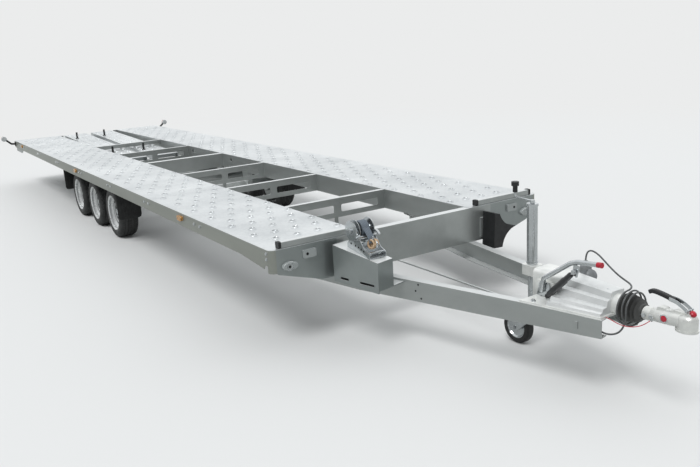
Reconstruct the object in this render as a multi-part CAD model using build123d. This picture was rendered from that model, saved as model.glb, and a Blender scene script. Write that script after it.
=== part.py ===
"""Car transporter trailer: two full-length runways on a triple-axle frame with a V drawbar.

Frame: +X towards the coupling, +Y to the left, +Z up, millimetres.  The origin is on the
ground, halfway along the whole trailer.  Lengths named from_rear start at the deck's rear edge.
"""
from build123d import *
from math import atan2, cos, degrees, pi, radians, sin, sqrt, tan
import os

os.makedirs("parts", exist_ok=True)

# ---------------------------------------------------------------- driving dimensions
deck_length = 8530
deck_width = 2200
deck_height = 645
gap_width = 888              # open gap between the two runways
coupling_reach = 1985        # deck's front edge to the coupling's nose

sheet = 3                    # runway sheet
seam_from_rear = 6380        # joint between the two lengths of a runway
seam_width = 4
seam_depth = 1.5
plate = 4                    # folded frame sections
rail_height = 98
rail_flange = 41
corner_radius = 40           # rounded front corners of the deck
corner_drop = 142            # depth of the corner post below the sheet

beam_depth = 152             # longitudinal beams and crossmembers
beam_flange = 60
crossmember_first = 2159     # first crossmember, from the rear edge
crossmember_pitch = 1072
crossmember_flange = 42
window_length = 345          # openings in a lattice crossmember
window_height = 58
window_post = 66             # post between the two openings
beam_hole_radius = 19
front_beam_depth = 242
front_beam_half = 640

wheel_middle = 4050          # middle axle, from the rear edge
wheel_pitch = 705
tyre_radius = 255
tyre_width = 195
wheel_face = 1000            # tyre's outer face from the centre line
rim_radius = 178
hub_radius = 33
stub_radius = 16
running_gap = 0.05           # radial clearance of a turning fit
axle_height = 350
axle_size = 90
axle_lead = 125              # axle tube ahead of the wheel's centre
vent_count = 10

arm_outer = 490              # outer face of a drawbar arm where it passes the deck's front edge
arm_slope = 0.222            # sideways per unit forwards
arm_flange = 55
arm_rear_from_rear = 7480
arm_front_from_rear = 10110
arm_level_from_rear = 9650   # the arm's top runs level from here on
arm_top_front = 430
arm_bottom_rear = 268
arm_bottom_front = 335

draw_height = 478            # height of the drawtube's axis
drawtube_radius = 25
socket_radius = 25.2         # ball coupling for a 50 mm ball
socket_height = 474          # ball centre
socket_from_nose = 52
skirt_bottom = 450

jockey_from_rear = 9420
jockey_side = 115            # to the left of the centre line
jockey_tube_radius = 30
jockey_tube_bottom = 440
jockey_tube_top = 850
jockey_leg_radius = 22.5
jockey_leg_bottom = 226
jockey_leg_top = 640
jockey_wheel_radius = 102
jockey_wheel_width = 58
jockey_trail = 104
jockey_pin_radius = 8

ramp_width = 330
ramp_length = 3040
ramp_depth = 55
ramp_slope = 0.03            # falls towards the front
ramp_inner = 40              # inner side from the centre line

# ---------------------------------------------------------------- derived places
overall_length = deck_length + coupling_reach
half_width = deck_width / 2
half_gap = gap_width / 2
sheet_bottom = deck_height - sheet
rail_bottom = sheet_bottom - rail_height
beam_bottom = sheet_bottom - beam_depth
front_beam_bottom = sheet_bottom - front_beam_depth
front_face = deck_length
runway_width = half_width - half_gap
wheel_places = [wheel_middle + step * wheel_pitch for step in (-1, 0, 1)]
crossmember_places = [crossmember_first + step * crossmember_pitch for step in range(6)]
arm_turn = degrees(atan2(arm_slope, 1))
arm_stretch = 1 / cos(radians(arm_turn))


def from_rear(distance):
    """X of a place measured forwards from the deck's rear edge."""
    return distance - overall_length / 2


def block(along, across, up):
    """Box between (low, high) pairs; the first pair is measured from the rear edge."""
    low = (from_rear(along[0]), across[0], up[0])
    size = [pair[1] - pair[0] for pair in (along, across, up)]
    return Pos(*low) * Box(*size, align=(Align.MIN, Align.MIN, Align.MIN))


def slab(plane, outline, thickness):
    """Flat plate whose outline lies on a plane and whose thickness follows the plane's normal."""
    return extrude(plane * Polygon(*outline, align=None), thickness, dir=plane.z_dir)


def side_slab(outline, across):
    """Outline of (from_rear, z) points, thick from across[0] to across[1] in Y."""
    plane = Plane((0, across[1], 0), x_dir=(1, 0, 0), z_dir=(0, -1, 0))
    return slab(plane, [(from_rear(x), z) for x, z in outline], across[1] - across[0])


def end_slab(outline, along):
    """Outline of (y, z) points, thick from along[0] to along[1], measured from the rear edge."""
    return slab(Plane.YZ.offset(from_rear(along[0])), outline, along[1] - along[0])


def round_bar(start, end, radius, bore=0):
    """Cylinder between two (from_rear, y, z) points, or a tube when it has a bore."""
    first = Vector(from_rear(start[0]), start[1], start[2])
    last = Vector(from_rear(end[0]), end[1], end[2])
    plane = Plane(first, z_dir=last - first)
    bar = extrude(plane * Circle(radius), (last - first).length)
    if bore:
        bar -= extrude(plane * Circle(bore), (last - first).length)
    return bar


def mirrored(shape):
    """The shape and its twin on the other side of the centre line."""
    return [shape, mirror(shape, about=Plane.XZ)]


def save(name, *shapes):
    """Write one node; every solid in it is kept apart from the others."""
    solids = [solid for shape in shapes for solid in shape.solids()]
    export_step(solids[0] if len(solids) == 1 else Compound(solids), f"parts/{name}.step")


# ---------------------------------------------------------------- deck and frame
def runway():
    """Left runway sheet with its rounded front corner and the welded seam between its two lengths."""
    top = block((0, deck_length), (half_gap, half_width), (sheet_bottom, deck_height))
    corner = top.edges().filter_by(Axis.Z).sort_by(lambda edge: edge.center().X + edge.center().Y)[-1]
    top = fillet(corner, corner_radius)
    return top - block((seam_from_rear - seam_width / 2, seam_from_rear + seam_width / 2),
                       (half_gap - 1, half_width + 1), (deck_height - seam_depth, deck_height + 1))


def side_rail():
    """Left side rail, a channel open to the inside, with the rounded post at its front end."""
    inner = half_width - rail_flange - plate
    straight = (0, deck_length - corner_radius)
    rail = block(straight, (half_width - plate, half_width), (rail_bottom, sheet_bottom))
    rail += block(straight, (inner, half_width), (sheet_bottom - plate, sheet_bottom))
    rail += block(straight, (inner, half_width), (rail_bottom, rail_bottom + plate))
    centre = Pos(from_rear(deck_length - corner_radius), half_width - corner_radius, sheet_bottom)
    ring = Circle(corner_radius) - Circle(corner_radius - plate)
    quarter = ring & (Pos(corner_radius / 2, corner_radius / 2) * Rectangle(corner_radius, corner_radius))
    gusset = side_slab([(deck_length - 420, rail_bottom), (deck_length - 92, rail_bottom - 27),
                        (deck_length - 74, rail_bottom)], (half_width - plate, half_width))
    return rail + gusset + extrude(centre * quarter, -corner_drop)


def main_beam():
    """Left longitudinal beam, a channel open to the outside with access holes at the axles."""
    ends = (80, deck_length - beam_flange)
    inner = (half_gap, half_gap + plate)
    flange = (half_gap, half_gap + beam_flange)
    beam = block(ends, inner, (beam_bottom, sheet_bottom))
    beam += block(ends, flange, (sheet_bottom - plate, sheet_bottom))
    beam += block(ends, flange, (beam_bottom, beam_bottom + plate))
    for step in range(6):
        height = beam_bottom + beam_depth * (0.3 if step % 2 else 0.68)
        place = wheel_places[0] + 40 + step * 290
        beam -= round_bar((place, half_gap - 1, height), (place, half_gap + plate + 1, height), beam_hole_radius)
    return beam


def lattice_crossmember(place):
    """Channel between the beams whose web is opened into two windows with rounded corners."""
    web = block((place - plate, place), (-half_gap, half_gap), (beam_bottom, sheet_bottom))
    middle = (window_post + window_length) / 2
    window_middle = beam_bottom + 40 + window_height / 2
    for side in (-middle, middle):
        cutter = Plane.YZ.offset(from_rear(place - plate - 1)) * Pos(side, window_middle)
        web -= extrude(cutter * RectangleRounded(window_length, window_height, 12), plate + 2)
    top = block((place - crossmember_flange, place), (-half_gap, half_gap), (sheet_bottom - plate, sheet_bottom))
    low = block((place - crossmember_flange, place), (-half_gap, half_gap), (beam_bottom, beam_bottom + plate))
    return web + top + low


def closed_crossmember(place, depth, length):
    """Plain box crossmember of the given depth."""
    outer = block((place - length, place), (-half_gap, half_gap), (sheet_bottom - depth, sheet_bottom))
    hollow = block((place - length + plate, place - plate), (-half_gap, half_gap),
                   (sheet_bottom - depth + plate, sheet_bottom - plate))
    return outer - hollow


def outrigger(place):
    """Left tapered bracket from the longitudinal beam out to the side rail, with a top flange."""
    rail_inner = half_width - rail_flange - plate
    beam_outer = half_gap + beam_flange
    outline = [
        (half_gap + plate, beam_bottom + plate), (beam_outer + 190, beam_bottom + plate),
        (beam_outer + 290, rail_bottom + plate), (half_width - plate, rail_bottom + plate),
        (half_width - plate, sheet_bottom - plate), (half_gap + plate, sheet_bottom - plate),
    ]
    web = end_slab(outline, (place - plate, place))
    return web + block((place - 36, place), (beam_outer, rail_inner), (sheet_bottom - plate, sheet_bottom))


def front_beam():
    """Deep front channel with its flat face forwards."""
    across = (-front_beam_half, front_beam_half)
    back = deck_length - beam_flange
    beam = block((front_face - plate, front_face), across, (front_beam_bottom, sheet_bottom))
    beam += block((back, front_face), across, (sheet_bottom - plate, sheet_bottom))
    beam += block((back, front_face), across, (front_beam_bottom, front_beam_bottom + plate))
    chock_tray = block((front_face, front_face + 12), (540, 640), (420, 560))
    return beam + chock_tray


def fascia():
    """Left front panel that tapers from the deep front beam to the side rail's corner post."""
    outer = half_width - corner_radius
    low = sheet_bottom - corner_drop
    outline = [
        (front_beam_half, sheet_bottom), (front_beam_half, front_beam_bottom),
        (front_beam_half + 115, front_beam_bottom), (outer - 8, low - 10),
        (outer, low - 4), (outer, sheet_bottom),
    ]
    return end_slab(outline, (front_face - plate, front_face))


def wheel_stop():
    """Left square stop tube across the front of the runway."""
    section = Plane.XZ.offset(-half_gap - 86) * Pos(from_rear(deck_length - 24), deck_height + 19)
    return extrude(section * (RectangleRounded(38, 38, 6) - RectangleRounded(32, 32, 3)), -490)


def stop_caps():
    """Black plugs in both ends of the left stop tube."""
    caps = []
    for start in (half_gap + 68, half_gap + 86 + 490):
        section = Plane.XZ.offset(-start) * Pos(from_rear(deck_length - 24), deck_height + 21)
        caps.append(extrude(section * RectangleRounded(42, 42, 9), -18))
    return caps


def ramp_bottom(place):
    """Height of a stowed ramp's underside at a distance from the rear edge."""
    return sheet_bottom - ramp_slope * place - ramp_depth * sqrt(1 + ramp_slope ** 2)


def rear_board():
    """Rear cross channel that carries the lamps, notched under the ramps, with side cheeks."""
    notch = ramp_inner + ramp_width + 20
    side = half_width - plate - 6
    low = beam_bottom + 2
    face_back, face_front = 30, 34
    seat = ramp_bottom(face_front)
    outline = [
        (-side, low), (side, low), (side, rail_bottom), (half_width - rail_flange - 10, rail_bottom),
        (half_width - rail_flange - 10, sheet_bottom), (notch, sheet_bottom), (notch, seat),
        (-notch, seat), (-notch, sheet_bottom), (-half_width + rail_flange + 10, sheet_bottom),
        (-half_width + rail_flange + 10, rail_bottom), (-side, rail_bottom),
    ]
    board = end_slab(outline, (face_back, face_front))
    board += block((face_back, 80), (-side, side), (low, low + plate))
    cheek = [(face_back, low), (450, low), (600, rail_bottom), (face_back, rail_bottom)]
    for across in ((side - plate, side), (-side, -side + plate)):
        board += side_slab(cheek, across)
    return board


def rear_lamp():
    """Left tail lamp body on the rear board."""
    lamp = block((4, 30), (700, 1030), (505, 575))
    return fillet(lamp.edges().filter_by(Axis.X), 14)


outline_lamp_side = half_width + 152
outline_lamp_height = 688
outline_lamp_place = 45


def outline_stalk():
    """Left rubber stalk from the rear corner out to the outline lamp."""
    root = (outline_lamp_place, half_width + 3, 598)
    elbow = (outline_lamp_place, half_width + 60, 606)
    head = (outline_lamp_place, outline_lamp_side - 30, outline_lamp_height - 24)
    path = FilletPolyline(*[(from_rear(x), y, z) for x, y, z in (root, elbow, head)], radius=30)
    stalk = sweep(Plane(path @ 0, z_dir=path % 0) * Circle(14), path=path)
    foot = block((outline_lamp_place - 25, outline_lamp_place + 25), (half_width, half_width + 10), (566, 630))
    return stalk + fillet(foot.edges().filter_by(Axis.Y), 8)


def outline_lens():
    """Left round outline lamp: a lens to the front and one to the rear, in one housing."""
    centre = (outline_lamp_side, outline_lamp_height)
    body = round_bar((outline_lamp_place - 26, *centre), (outline_lamp_place + 26, *centre), 38)
    body = fillet(body.edges().filter_by(GeomType.CIRCLE), 8)
    return body - round_bar((0, *centre), (outline_lamp_place - 27, *centre), 20)


def front_lamps():
    """Left clear front lamp, oval, and the square reflector above it."""
    ledge = Plane.YZ.offset(from_rear(front_face))
    oval = extrude(ledge * Pos(977, 532) * Ellipse(52, 29), 22)
    oval = fillet(oval.edges().sort_by(Axis.X)[-1], 8)
    square = extrude(ledge * Pos(839, 585) * RectangleRounded(88, 52, 6), 14)
    return [oval, square]


def side_markers():
    """Three amber lamps along the left rail."""
    markers = []
    for step in range(3):
        ledge = Plane.XZ.offset(-half_width) * Pos(from_rear(600 + step * 3237), rail_bottom + 60)
        markers.append(extrude(ledge * SlotOverall(88, 40), -16))
    return markers


save("runways", *mirrored(runway()))
save("side_rails", *mirrored(side_rail()))
save("main_beams", *mirrored(main_beam()))
rear_place, second_place, middle_place, *front_places = crossmember_places
lattices = [lattice_crossmember(place) for place in (second_place, *front_places)]
bearer_top = ramp_bottom(2910)
bearer = block((2880, 2910), (-half_gap, half_gap), (beam_bottom, bearer_top))
save("crossmembers", *lattices, closed_crossmember(rear_place, 50, 50),
     closed_crossmember(middle_place, beam_depth, 70), bearer)
save("outriggers", *[twin for place in crossmember_places for twin in mirrored(outrigger(place))])
save("front_beam", front_beam())
save("front_fascias", *mirrored(fascia()))
save("wheel_stops", *mirrored(wheel_stop()))
save("wheel_stop_caps", *[twin for cap in stop_caps() for twin in mirrored(cap)])
save("rear_light_board", rear_board())
save("rear_lamps", *mirrored(rear_lamp()))
save("outline_lamp_stalks", *mirrored(outline_stalk()))
save("outline_lamps", *mirrored(outline_lens()))
save("front_lamps", *[twin for lamp in front_lamps() for twin in mirrored(lamp)])
save("side_markers", *[twin for marker in side_markers() for twin in mirrored(marker)])


# ---------------------------------------------------------------- loading ramps
def ramp():
    """Left stowed ramp: an inverted channel with inturned lips and cross ribs."""
    across = (ramp_inner, ramp_inner + ramp_width)
    start, end = 6, ramp_length
    body = block((start, end), across, (-ramp_depth, 0))
    body -= block((start - 1, end + 1), (across[0] + plate, across[1] - plate), (-ramp_depth + plate, -plate))
    body -= block((start - 1, end + 1), (across[0] + 28, across[1] - 28), (-ramp_depth - 1, -plate))
    for step in range(7):
        place = start + 60 + step * (ramp_length - 140) / 6
        body += block((place, place + plate), (across[0] + plate, across[1] - plate), (-ramp_depth + plate, -plate))
    tilt = degrees(atan2(ramp_slope, 1))
    hinge = Pos(from_rear(0), 0, sheet_bottom)
    return hinge * Rot(0, tilt, 0) * Pos(-from_rear(0), 0, 0) * body


def ramp_clamp(place, side):
    """Hold-down peg with a black sleeve, standing on a ramp."""
    foot = ramp_bottom(place) + ramp_depth + 0.9
    peg = round_bar((place, side, foot), (place, side, foot + 92), 13)
    return peg + round_bar((place, side, foot), (place, side, foot + 8), 24)


save("loading_ramps", *mirrored(ramp()))
save("ramp_clamps", *[ramp_clamp(place, side) for place in (550, 2450) for side in (-300, 110)])


# ---------------------------------------------------------------- axles and wheels
def axle_tube(place):
    """Six-sided suspension tube with its brackets up to the longitudinal beams."""
    centre = place + axle_lead
    reach = wheel_face - tyre_width - 60
    section = Plane.XZ.offset(-reach) * Pos(from_rear(centre), axle_height)
    tube = extrude(section * RegularPolygon(axle_size / 2, 6, major_radius=False), 2 * reach)
    for side in (-1, 1):
        near, far = sorted((side * (half_gap + plate), side * (half_gap + beam_flange)))
        bracket = side_slab(
            [(centre - 70, beam_bottom), (centre + 70, beam_bottom), (centre + 50, axle_height),
             (centre - 50, axle_height)], (near, far))
        tube += bracket
    return tube


def swing_arm(place):
    """Left trailing arm, brake back plate and stub shaft of one wheel."""
    inner = wheel_face - tyre_width - 60
    outer = inner + 36
    wheel_z = tyre_radius
    eye = Pos(from_rear(place + axle_lead), axle_height) * Circle(50)
    end = Pos(from_rear(place), wheel_z) * Circle(38)
    link = Plane((0, outer, 0), x_dir=(1, 0, 0), z_dir=(0, -1, 0)) * make_hull(eye.edges() + end.edges())
    arm = extrude(link, outer - inner)
    back_plate = round_bar((place, outer, wheel_z), (place, outer + 6, wheel_z), 122)
    stub = round_bar((place, outer + 6, wheel_z), (place, wheel_face - 90, wheel_z), stub_radius)
    return arm + back_plate + stub


def tyre():
    """Tyre about the Y axis, centred on its own middle plane."""
    half = tyre_width / 2
    shoulder = tyre_radius - 14
    bead = rim_radius - 12
    outline = [
        (bead, -half + 20), (bead + 22, -half + 4), (shoulder - 28, -half), (shoulder, -half + 14),
        (tyre_radius, -half + 36), (tyre_radius, half - 36), (shoulder, half - 14), (shoulder - 28, half),
        (bead + 22, half - 4), (bead, half - 20),
    ]
    return revolve(Polygon(*outline, align=None), Axis.Y)


def rim():
    """Steel wheel with its well, vented disc, hub and brake drum, outer face towards +Y."""
    half = tyre_width / 2
    bead = rim_radius - 12.3
    well = rim_radius - 36
    wall = 5
    seat = half - 19.7
    outline = [
        (bead, seat), (rim_radius, half - 10.9), (rim_radius, half - 6.5), (bead - wall, half - 15),
        (bead - wall, seat - 16), (well - wall, half - 60), (well - wall, -half + 54), (bead - wall, 16 - seat),
        (bead - wall, -half + 15), (rim_radius, -half + 6.5), (rim_radius, -half + 10.9), (bead, -seat),
        (bead, 14 - seat), (well, -half + 52), (well, half - 58), (bead, seat - 14),
    ]
    wheel = revolve(Polygon(*outline, align=None), Axis.Y)
    dish = [
        (0, half - 62), (hub_radius, half - 62), (hub_radius, half - 74), (78, half - 70), (104, half - 50),
        (well - wall + 1, half - 66), (well - wall + 1, half - 74), (104, half - 60), (78, half - 79), (0, half - 79),
    ]
    wheel += revolve(Polygon(*dish, align=None), Axis.Y)
    for step in range(vent_count):
        turn = Rot(0, step * 360 / vent_count, 0)
        wheel -= turn * Pos(120, half - 62, 0) * Rot(90, 0, 0) * Cylinder(11, 50)
    drum = [(0, half - 78), (112, half - 78), (112, -half - 8), (103, -half - 8), (103, half - 90), (0, half - 90)]
    wheel += revolve(Polygon(*drum, align=None), Axis.Y)
    hub = Pos(0, half - 102, 0) * Rot(90, 0, 0) * Cylinder(hub_radius, 60)
    bore = Pos(0, half - 122, 0) * Rot(90, 0, 0) * Cylinder(stub_radius + running_gap, 76)
    return wheel + hub - bore


save("axle_tubes", *[axle_tube(place) for place in wheel_places])
save("swing_arms", *[twin for place in wheel_places for twin in mirrored(swing_arm(place))])
left_tyre, left_rim = tyre(), rim()
for row, place in zip(("rear", "middle", "front"), wheel_places):
    hub_place = Pos(from_rear(place), wheel_face - tyre_width / 2, tyre_radius)
    for side, twins in (("left", 0), ("right", 1)):
        save(f"{row}_{side}_tyre", mirrored(hub_place * left_tyre)[twins])
        save(f"{row}_{side}_rim", mirrored(hub_place * left_rim)[twins])


def mudflap(place, low):
    """Left black flap hanging behind or ahead of the wheels."""
    flap = block((place, place + 6), (820, half_width - rail_flange - 8), (low, sheet_bottom))
    return fillet(flap.edges().filter_by(Axis.X).sort_by(Axis.Z)[:2], 30)


rear_flap = mudflap(wheel_places[0] - 400, 265)
front_flap = mudflap(wheel_places[2] + 395, 110)
save("mudflaps", *mirrored(rear_flap), *mirrored(front_flap))


# ---------------------------------------------------------------- drawbar
def arm_plane(offset=0):
    """Plane on the left arm's outer face: x along the arm, y up, thickness inwards."""
    turn = radians(arm_turn)
    along = Vector(cos(turn), -sin(turn), 0)
    inwards = Vector(-sin(turn), -cos(turn), 0)
    origin = Vector(from_rear(deck_length), arm_outer, 0) + inwards * offset
    return Plane(origin, x_dir=along, z_dir=inwards)


def along_arm(place):
    """Distance along the arm of a place measured from the rear edge."""
    return (place - deck_length) * arm_stretch


def drawbar_arm():
    """Left converging channel, open to the inside, with its hangers under the frame."""
    rear = along_arm(arm_rear_from_rear)
    level = along_arm(arm_level_from_rear)
    front = along_arm(arm_front_from_rear)
    top = front_beam_bottom
    upper = [(rear, top), (16, top), (level, arm_top_front), (front, arm_top_front)]
    lower = [(rear, arm_bottom_rear), (0, arm_bottom_rear), (front, arm_bottom_front)]
    web = slab(arm_plane(), [*lower, *reversed(upper)], plate)
    for edge, rise in ((upper, -plate), (lower, plate)):
        strip = [*edge, *[(s, z + rise) for s, z in reversed(edge)]]
        web += slab(arm_plane(), strip, arm_flange)
    crossing = block((8392, 8452), (half_gap + plate, half_gap + beam_flange), (top, beam_bottom))
    hanger_place = crossmember_places[-1]
    hanger = block((hanger_place - 24, hanger_place - plate), (650, 684), (top, beam_bottom + 30))
    return web + crossing + hanger


cable_exit = (9991.2, -140, 380)
gland = block((9940, 9990), (-171.5, -126), (362, 398))
left_arm, right_arm = mirrored(drawbar_arm())
save("drawbar_arms", left_arm, right_arm + gland)


# ---------------------------------------------------------------- winch
console_width = 222
console_inner = 96
console_length = 372
console_rear_top = 618
console_front_top = 562
console_low = 376


def winch_console():
    """Folded bracket outside the right arm; its top slopes down to the front."""
    low_web = (console_low + 14, console_low + 19)
    start, end = 6, console_length
    outer = [(start, console_low + 16), (end, console_low), (end, console_front_top), (start, console_rear_top)]
    inner = [(start, low_web[0]), (end, low_web[0]), (end, console_front_top), (start, console_rear_top)]
    console = slab(arm_plane(-console_width), outer, 5)
    console += slab(arm_plane(-console_inner), inner, 5)
    lid = [(start, console_rear_top - 5), (end, console_front_top - 5), (end, console_front_top),
           (start, console_rear_top)]
    console += slab(arm_plane(-console_width), lid, console_width - console_inner + 5)
    face = [(end - 5, low_web[0]), (end, low_web[0]), (end, console_front_top), (end - 5, console_front_top)]
    console += slab(arm_plane(-console_width), face, console_width - console_inner + 5)
    for low, high in ((end - 150, end - 34), (60, 130)):
        slot = Pos((low + high) / 2, console_low + 42) * SlotOverall(high - low, 15)
        console -= extrude(arm_plane(-console_width - 1) * slot, 8)
    shelf = [(start, low_web[0]), (end, low_web[0]), (end, low_web[1]), (start, low_web[1])]
    console += slab(arm_plane(-console_width), shelf, console_width)
    back = [(start, low_web[0]), (start + 5, low_web[0]), (start + 5, console_rear_top), (start, console_rear_top)]
    console += slab(arm_plane(-console_width), back, console_width - console_inner + 5)
    return mirror(console, about=Plane.XZ)


winch_place = 8722           # drum axis from the rear edge
winch_height = 720
winch_near = -640
winch_far = -520
shaft_radius = 10


def console_top(place, side):
    """Height of the console's sloping top under a point of the winch."""
    turn = radians(arm_turn)
    run = (place - deck_length) * cos(turn) - (-side - arm_outer) * sin(turn)
    return console_rear_top - (run - 6) * (console_rear_top - console_front_top) / (console_length - 6)


def winch_frame():
    """Two side plates joined by a base plate and spacer bars."""
    low = console_top(winch_place - 70, winch_near)
    drop = low - console_top(winch_place + 160, winch_near)
    base = side_slab([(winch_place - 70, low + 1), (winch_place + 160, low - drop + 1),
                      (winch_place + 160, low - drop + 6), (winch_place - 70, low + 6)], (winch_near, winch_far))
    outline = [
        (winch_place - 70, low + 1), (winch_place + 160, low - drop + 1), (winch_place + 160, low - drop + 32),
        (winch_place + 112, low - drop + 50), (winch_place + 26, winch_height + 2),
        (winch_place + 12, winch_height + 18), (winch_place - 14, winch_height + 18),
        (winch_place - 34, winch_height - 4), (winch_place - 44, low + 50), (winch_place - 70, low + 26),
    ]
    frame = base + side_slab(outline, (winch_near, winch_near + 4)) + side_slab(outline, (winch_far - 4, winch_far))
    for place, height in ((winch_place + 130, low - drop + 28), (winch_place - 52, low + 30)):
        frame += round_bar((place, winch_near, height), (place, winch_far, height), 7)
    spindle = (winch_place, winch_height)
    return frame - round_bar((spindle[0], winch_near - 1, spindle[1]), (spindle[0], winch_far + 1, spindle[1]),
                             shaft_radius + running_gap)


def winch_drum():
    """Drum with two flanges, its shaft and the toothed drive wheel outside the near side plate."""
    spindle = (winch_place, winch_height)
    drum = round_bar((spindle[0], winch_near + 10, spindle[1]), (spindle[0], winch_far - 10, spindle[1]), 24)
    drum += round_bar((spindle[0], winch_near - 20, spindle[1]), (spindle[0], winch_far + 8, spindle[1]), shaft_radius)
    for side, radius, width in ((winch_near + 8, 64, 4), (winch_far - 12, 64, 4), (winch_near - 16, 56, 8)):
        drum += round_bar((spindle[0], side, spindle[1]), (spindle[0], side + width, spindle[1]), radius)
    return drum


def winch_strap():
    """Strap wound on the drum; its free end runs down to the front of the frame."""
    near, far = winch_near + 15, winch_far - 15
    coil = round_bar((winch_place, near, winch_height), (winch_place, far, winch_height), 52, bore=24.3)
    tail = side_slab([(winch_place + 44, winch_height - 24), (winch_place + 50, winch_height - 16),
                      (winch_place + 128, winch_height - 92), (winch_place + 122, winch_height - 100)],
                     (near + 14, far - 14))
    return coil + tail


save("winch_console", winch_console())
save("winch_frame", winch_frame())
save("winch_drum", winch_drum())
save("winch_strap", winch_strap())


def wheel_chock():
    """Black wedge stowed upright on the left front panel: hollow-sided, with its tip outwards."""
    corner = front_face + 12
    outline = make_face([
        Line((548, 360), (560, 606)),
        Line((560, 606), (604, 596)),
        ThreePointArc((604, 596), (660, 520), (754, 486)),
        ThreePointArc((754, 486), (668, 440), (628, 356)),
        Line((628, 356), (548, 360)),
    ])
    return extrude(Plane.YZ.offset(from_rear(corner)) * outline, 118)


save("wheel_chock", wheel_chock())


# ---------------------------------------------------------------- overrun coupling
housing_rear = 9605
housing_front = 10128
nose_place = overall_length
ball_place = overall_length - socket_from_nose


def overrun_housing():
    """Cast housing between the arms: rear block, lugs, mounting flange and front bearing."""
    body = block((housing_rear, 9804.5), (-74, 74), (386, 566))
    body = fillet(body.edges().filter_by(Axis.X).group_by(Axis.Z)[-1], 26)
    lug = block((housing_rear, housing_rear + 18), (-74, 160), (430, 516))
    body += fillet(lug.edges().filter_by(Axis.X).group_by(Axis.Y)[-1], 20)
    for side in (-1, 1):
        rib = side_slab([(9625, 430), (9800, 430), (9760, 520), (9650, 520)],
                        tuple(sorted((side * 74, side * 92))))
        body += rib
    flange_rear, flange_front = 9660, 10100
    half_rear = arm_outer - arm_slope * (flange_rear - deck_length) - 6
    half_front = arm_outer - arm_slope * (flange_front - deck_length) - 6
    points = [(from_rear(flange_rear), -half_rear), (from_rear(flange_front), -half_front),
              (from_rear(flange_front), half_front), (from_rear(flange_rear), half_rear)]
    body += extrude(Plane.XY.offset(arm_top_front) * Polygon(*points, align=None), 10)
    body += round_bar((10090, 0, draw_height), (housing_front + 20, 0, draw_height), 54, bore=drawtube_radius + 0.4)
    return body


def housing_cover():
    """Ridged pressed cover over the brake gear, stepped in five ledges and narrower at the front."""
    def section(place, foot, crown, top):
        low = arm_top_front + 10
        shares = [(1.0, 0), (0.97, 0.13), (0.80, 0.17), (0.74, 0.31), (0.45, 0.36), (0.38, 0.62), (0.17, 0.68),
                  (0.10, 0.95), (0, 1.0)]
        points = [(crown + (foot - crown) * out, low + (top - low) * up) for out, up in shares]
        points += [(-y, z) for y, z in reversed(points)]
        return Plane.YZ.offset(from_rear(place)) * Polygon(*points, align=None)
    return loft([section(9805, 192, 48, 564), section(10089.5, 128, 40, 548)])


def bellows():
    """Pleated rubber sleeve from the housing's bearing to the drawtube."""
    start, end, pleats = housing_front + 1, housing_front + 118, 5
    profile = [(start, 54.4), (start, 62)]
    step = (end - 14 - start - 12) / pleats
    for number in range(pleats):
        middle = start + 12 + step * (number + 0.5)
        crest = 73 - 4.2 * number
        profile += [(middle - step * 0.5, crest - 15), (middle, crest)]
    profile += [(end - 14, 40), (end, 38), (end, drawtube_radius + 0.4), (end - 16, drawtube_radius + 0.4)]
    profile += [(start + 20.5, 54.4)]
    points = [(from_rear(x), r) for x, r in profile]
    ring = revolve(Polygon(*points, align=None), Axis.X)
    return Pos(0, 0, draw_height) * ring


def drawtube():
    """Round steel tube that slides in the housing and carries the coupling."""
    return round_bar((housing_front - 38, 0, draw_height), (10285, 0, draw_height), drawtube_radius, bore=17)


def coupling_head():
    """Cast ball coupling: collar on the drawtube, swelling neck, low domed socket and a lipped mouth."""
    def oval(place, half_y, half_z, height):
        return Plane.YZ.offset(from_rear(place)) * Pos(0, height) * Ellipse(half_y, half_z)
    neck = loft([oval(10286, 33.6, 31, draw_height), oval(10322, 40.2, 34, 486), oval(10372, 44, 38, 492),
                 oval(10420, 40, 36, 494), oval(ball_place, 42, 36, 492)])
    collar = round_bar((10248, 0, draw_height), (10287, 0, draw_height), 33, bore=drawtube_radius)
    dome = Pos(from_rear(ball_place), 0, skirt_bottom) * Ellipse(socket_from_nose - 5, 43)
    dome = extrude(dome, 80)
    dome = fillet(dome.edges().sort_by(Axis.Z)[-1], 30)
    lip = extrude(Pos(from_rear(ball_place), 0, skirt_bottom) * Ellipse(socket_from_nose, 47), 9)
    cap = block((10396, 10488), (-17, 17), (512, 537))
    cap = fillet(cap.edges().filter_by(Axis.Y).group_by(Axis.Z)[-1], 10)
    hump = block((10318, 10362), (-20, 20), (505, 533))
    hump = fillet(hump.edges().filter_by(Axis.Y).group_by(Axis.Z)[-1], 12)
    head = neck + collar + dome + lip + cap + hump
    head -= block((10300, overall_length + 5), (-60, 60), (400, skirt_bottom))
    socket = Pos(from_rear(ball_place), 0, socket_height)
    head -= socket * Sphere(socket_radius)
    return head - socket * Cylinder(socket_radius, 60, align=(Align.CENTER, Align.CENTER, Align.MAX))


def coupling_handle():
    """Black grip on a slim lug that is hinged above the socket; it lies back over the neck."""
    outline = [(10272, 590), (10284, 606), (10404, 590), (10424, 576), (10420, 560), (10282, 578)]
    grip = side_slab(outline, (-14, 14))
    grip = fillet(grip.edges().filter_by(Axis.Y), 6)
    lug = side_slab([(10414, 558), (10470, 537), (10484, 546), (10424, 577)], (-9, 9))
    return grip + lug


handbrake_side = -90


def handbrake_lever():
    """Bent tube on the housing's right side with its hinge plate."""
    points = [(9702, 470), (9716, 545), (9890, 664), (9935, 680), (10052, 692)]
    path = FilletPolyline(*[(from_rear(x), handbrake_side - 20, z) for x, z in points], radius=[20, 60, 60])
    lever = sweep(Plane(path @ 0, z_dir=path % 0) * Circle(13), path=path)
    hinge = side_slab([(9660, 442), (9760, 442), (9740, 520), (9680, 520)], (handbrake_side - 12, handbrake_side - 2))
    return lever + hinge


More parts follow.
